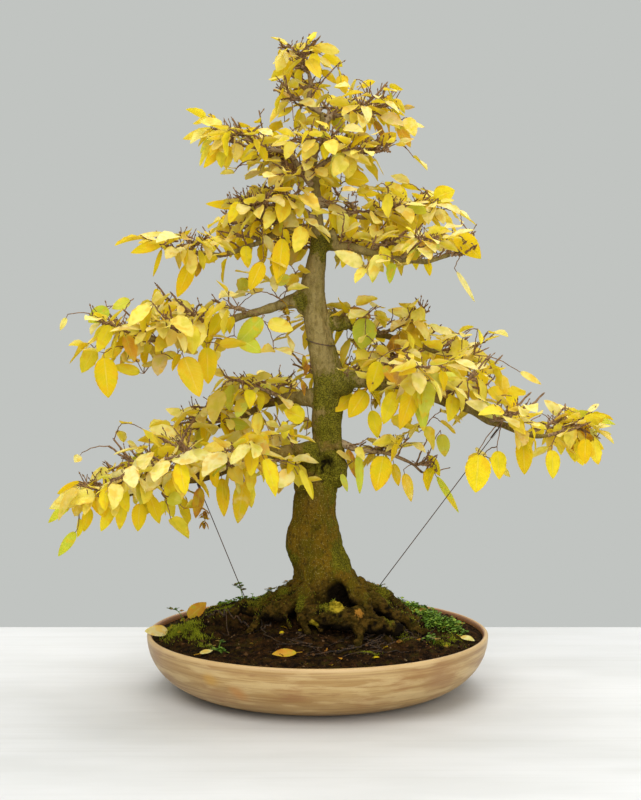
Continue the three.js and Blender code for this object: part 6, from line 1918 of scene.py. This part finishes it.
def make_foliage():
    """Each pad of the crown: a piece of wood, stalks, buds and bare shoots, and a piece of leaves."""
    leaf_paint, twig_paint = leaf_finish(), twig_finish()
    for pad, names in PADS.items():
        own_leaves = carried_by(names, leaves)
        wood = Shapes()
        shoots, own_boughs = add_wood(wood, names)
        starts = np.array([leaf["start"] for leaf in own_leaves])
        ends = np.array([leaf["base"] + leaf["ahead"] * 1.2 for leaf in own_leaves])
        stalks = np.stack([starts, (starts + ends) / 2 - UP * 0.4, ends], 1)
        add_stems(wood, stalks, (0.42, 0.34, 0.3), 4)
        add_buds(wood, shoots, own_boughs)
        fix(wood.piece(f"twigs_{pad}", sharp=70), twig_paint, "bark")
        sheets = Shapes()
        fine = [leaf for leaf in own_leaves if leaf["fine"]]
        if fine:
            add_blades(sheets, leaf_table(fine, 0.6), 24, 6, 0.45, 0.05, 0.22)
        common = [leaf for leaf in own_leaves if not leaf["fine"]]
        add_blades(sheets, leaf_table(common), 9, 2, 0.5, 0.09, 0.0)
        fix(sheets.piece(f"leaves_{pad}", sharp=60), leaf_paint, "autumn", *spray_names(names))


BUD_REACH = 4


def add_buds(wood, shoots, own_boughs):
    """Bare upturned shoots with a bud at the end, and buds at the twigs' own ends."""
    spots, ways, sizes = [], [], []
    for twig in shoots + own_boughs:
        for _ in range(2 if "root" in twig else 1):
            spots.append(along(twig["points"], rng.uniform(0.25, 0.95)))
            heading = turned(level(slope(twig["points"], 0.6)), rng.uniform(-1.5, 1.5))
            ways.append(heading * rng.uniform(0.3, 1) + UP * rng.uniform(0.25, 1.3))
            sizes.append(rng.uniform(4, 13))
    spots, ways, sizes = np.array(spots), unit(np.array(ways)), np.array(sizes)[:, None]
    reach = spots + ways * (sizes + BUD_REACH)
    inside = (reach < BOX_HIGH - 1).all(1) & (reach > BOX_LOW + 1).all(1)
    spots, ways, sizes = spots[inside], ways[inside], sizes[inside]
    bend = rng.normal(0, 0.9, spots.shape)
    lines = np.stack([spots, spots + ways * sizes * 0.5 + bend, spots + ways * sizes], 1)
    add_stems(wood, lines, (0.62, 0.5, 0.42), 4)
    tips = np.concatenate([lines[:, -1], np.array([twig["points"][-1] for twig in shoots])])
    heads = np.concatenate([ways, unit(np.array([slope(twig["points"], 0.97) for twig in shoots]))])
    below = tips[:, 2] + heads[:, 2] * BUD_REACH < BOX_HIGH[2] - 0.5
    tips, heads = tips[below], heads[below]
    lengths, widths = rng.uniform(2.6, 4.6, len(tips)), rng.uniform(0.6, 0.95, len(tips))
    wood.add(spindles(tips - heads * 0.4, heads, lengths, widths), girth=0.4)


# Hanging clusters of dry seeds: centre of the top
SEEDS = [(-108, -75, 193), (-30.3, -8, 386), (-86.2, 60, 294), (60, 40, 300)]
SEED_DROP = 14
BRACTS = 16
# Long dry bracts: stalk end, tip, half width
DRY = [
    ((-14, -18, 338), (-12, -19, 321), 3.2), ((-16, -18, 313), (-12, -18, 297), 2.8),
    ((-9, -20, 329), (-13, -21, 317), 3), ((74, -20, 354), (80, -24, 339), 6),
]


def make_seeds():
    """Dry seed clusters: crumpled brown bracts overlapping down a short hanging stem, and long single
    bracts, all from the nearest twig."""
    shapes = Shapes()
    ends = np.array([twig["points"][-1] for twig in twigs] + [twig["points"][1] for twig in twigs])
    for top in np.array(SEEDS, float):
        apart = np.linalg.norm(ends - top, axis=1) + 0.6 * np.maximum(0, top[2] - ends[:, 2])
        start, bottom = ends[np.argmin(apart)], top - UP * SEED_DROP
        line = along(np.array([start, (start + top) / 2 + UP, top, bottom]), np.linspace(0, 1, 12))
        add_stems(shapes, line[None], np.linspace(0.6, 0.35, 12), 5, tone=0.98, shade=0.7)
        out = golden_ways(BRACTS, 1, rng.uniform(-1.6, 0.4, (BRACTS, 1))[:, 0])
        feet = top + (bottom - top) * np.linspace(0, 1, BRACTS)[:, None]
        facings, lengths = unit(out * [1, 1, 0] + UP * 0.5), rng.uniform(6, 10, BRACTS)
        tones = rng.uniform(0.968, 1.0, BRACTS)
        table = scattered_leaves(feet, out, facings, lengths, 0.26, tones, 0.15, 0.3)
        table["shade"] = rng.uniform(0.5, 0.95, BRACTS)
        add_blades(shapes, table, 7, 2, 0.4, 0.1, 0.0)
    for base, tip, half in DRY:
        base, tip = np.array(base, float), np.array(tip, float)
        run = np.linalg.norm(tip - base)
        start = ends[np.argmin(np.linalg.norm(ends - base, axis=1))]
        stalk = np.array([[start, (start + base) / 2 + UP, base]])
        add_stems(shapes, stalk, (0.5, 0.4, 0.35), 5, tone=0.98, shade=0.7)
        front, lengths, tones = np.array([[0.3, -1.0, 0.2]]), np.array([run]), np.array([0.99])
        table = scattered_leaves(base[None], (tip - base)[None], front, lengths, half / run, tones, 0.2, 0.6)
        add_blades(shapes, table, 12, 4, 0.5, 0.05, 0.1)
    fix(shapes.piece("seed_clusters", sharp=60), leaf_finish(), "autumn")


TABLE_HALF_LENGTH = 1500
TABLE_FRONT = -1100
TABLE_BACK = 262
TABLE_THICKNESS = 30


def make_floor():
    """The table top: a slab with its back edge where the backdrop begins."""
    outline = [(-TABLE_HALF_LENGTH, TABLE_FRONT), (TABLE_HALF_LENGTH, TABLE_FRONT),
               (TABLE_HALF_LENGTH, TABLE_BACK), (-TABLE_HALF_LENGTH, TABLE_BACK)]
    corners = np.array([(x, y, z) for z in (0, -TABLE_THICKNESS) for x, y in outline], float)
    quads = np.array([(0, 1, 2, 3), (7, 6, 5, 4), (0, 4, 5, 1), (1, 5, 6, 2), (2, 6, 7, 3), (3, 7, 4, 0)])
    floor = set_mesh("table_top", corners - [0, 0, 0.05], quads, np.zeros((0, 3), int), sharp=30)
    floor.data.materials.append(floor_finish())


make_floor()
make_pot()
make_soil()
make_grit()
root_points, root_normals = make_trunk()
make_rootlets()
make_moss(root_points, root_normals)
make_ground_cover()
make_weeds("weed_sprigs", WEEDS, "weed_sprig_left", "weed_sprig_middle", "weed_sprig_edge")
make_weeds("small_seedlings", MORE_WEEDS)
make_fallen()
make_scraps()
make_wires()
make_foliage()
make_seeds()
paint = mesh_finish()
for name in ("drain_mesh_left", "drain_mesh_right"):
    nodes[name].data.materials.clear()
    nodes[name].data.materials.append(paint)
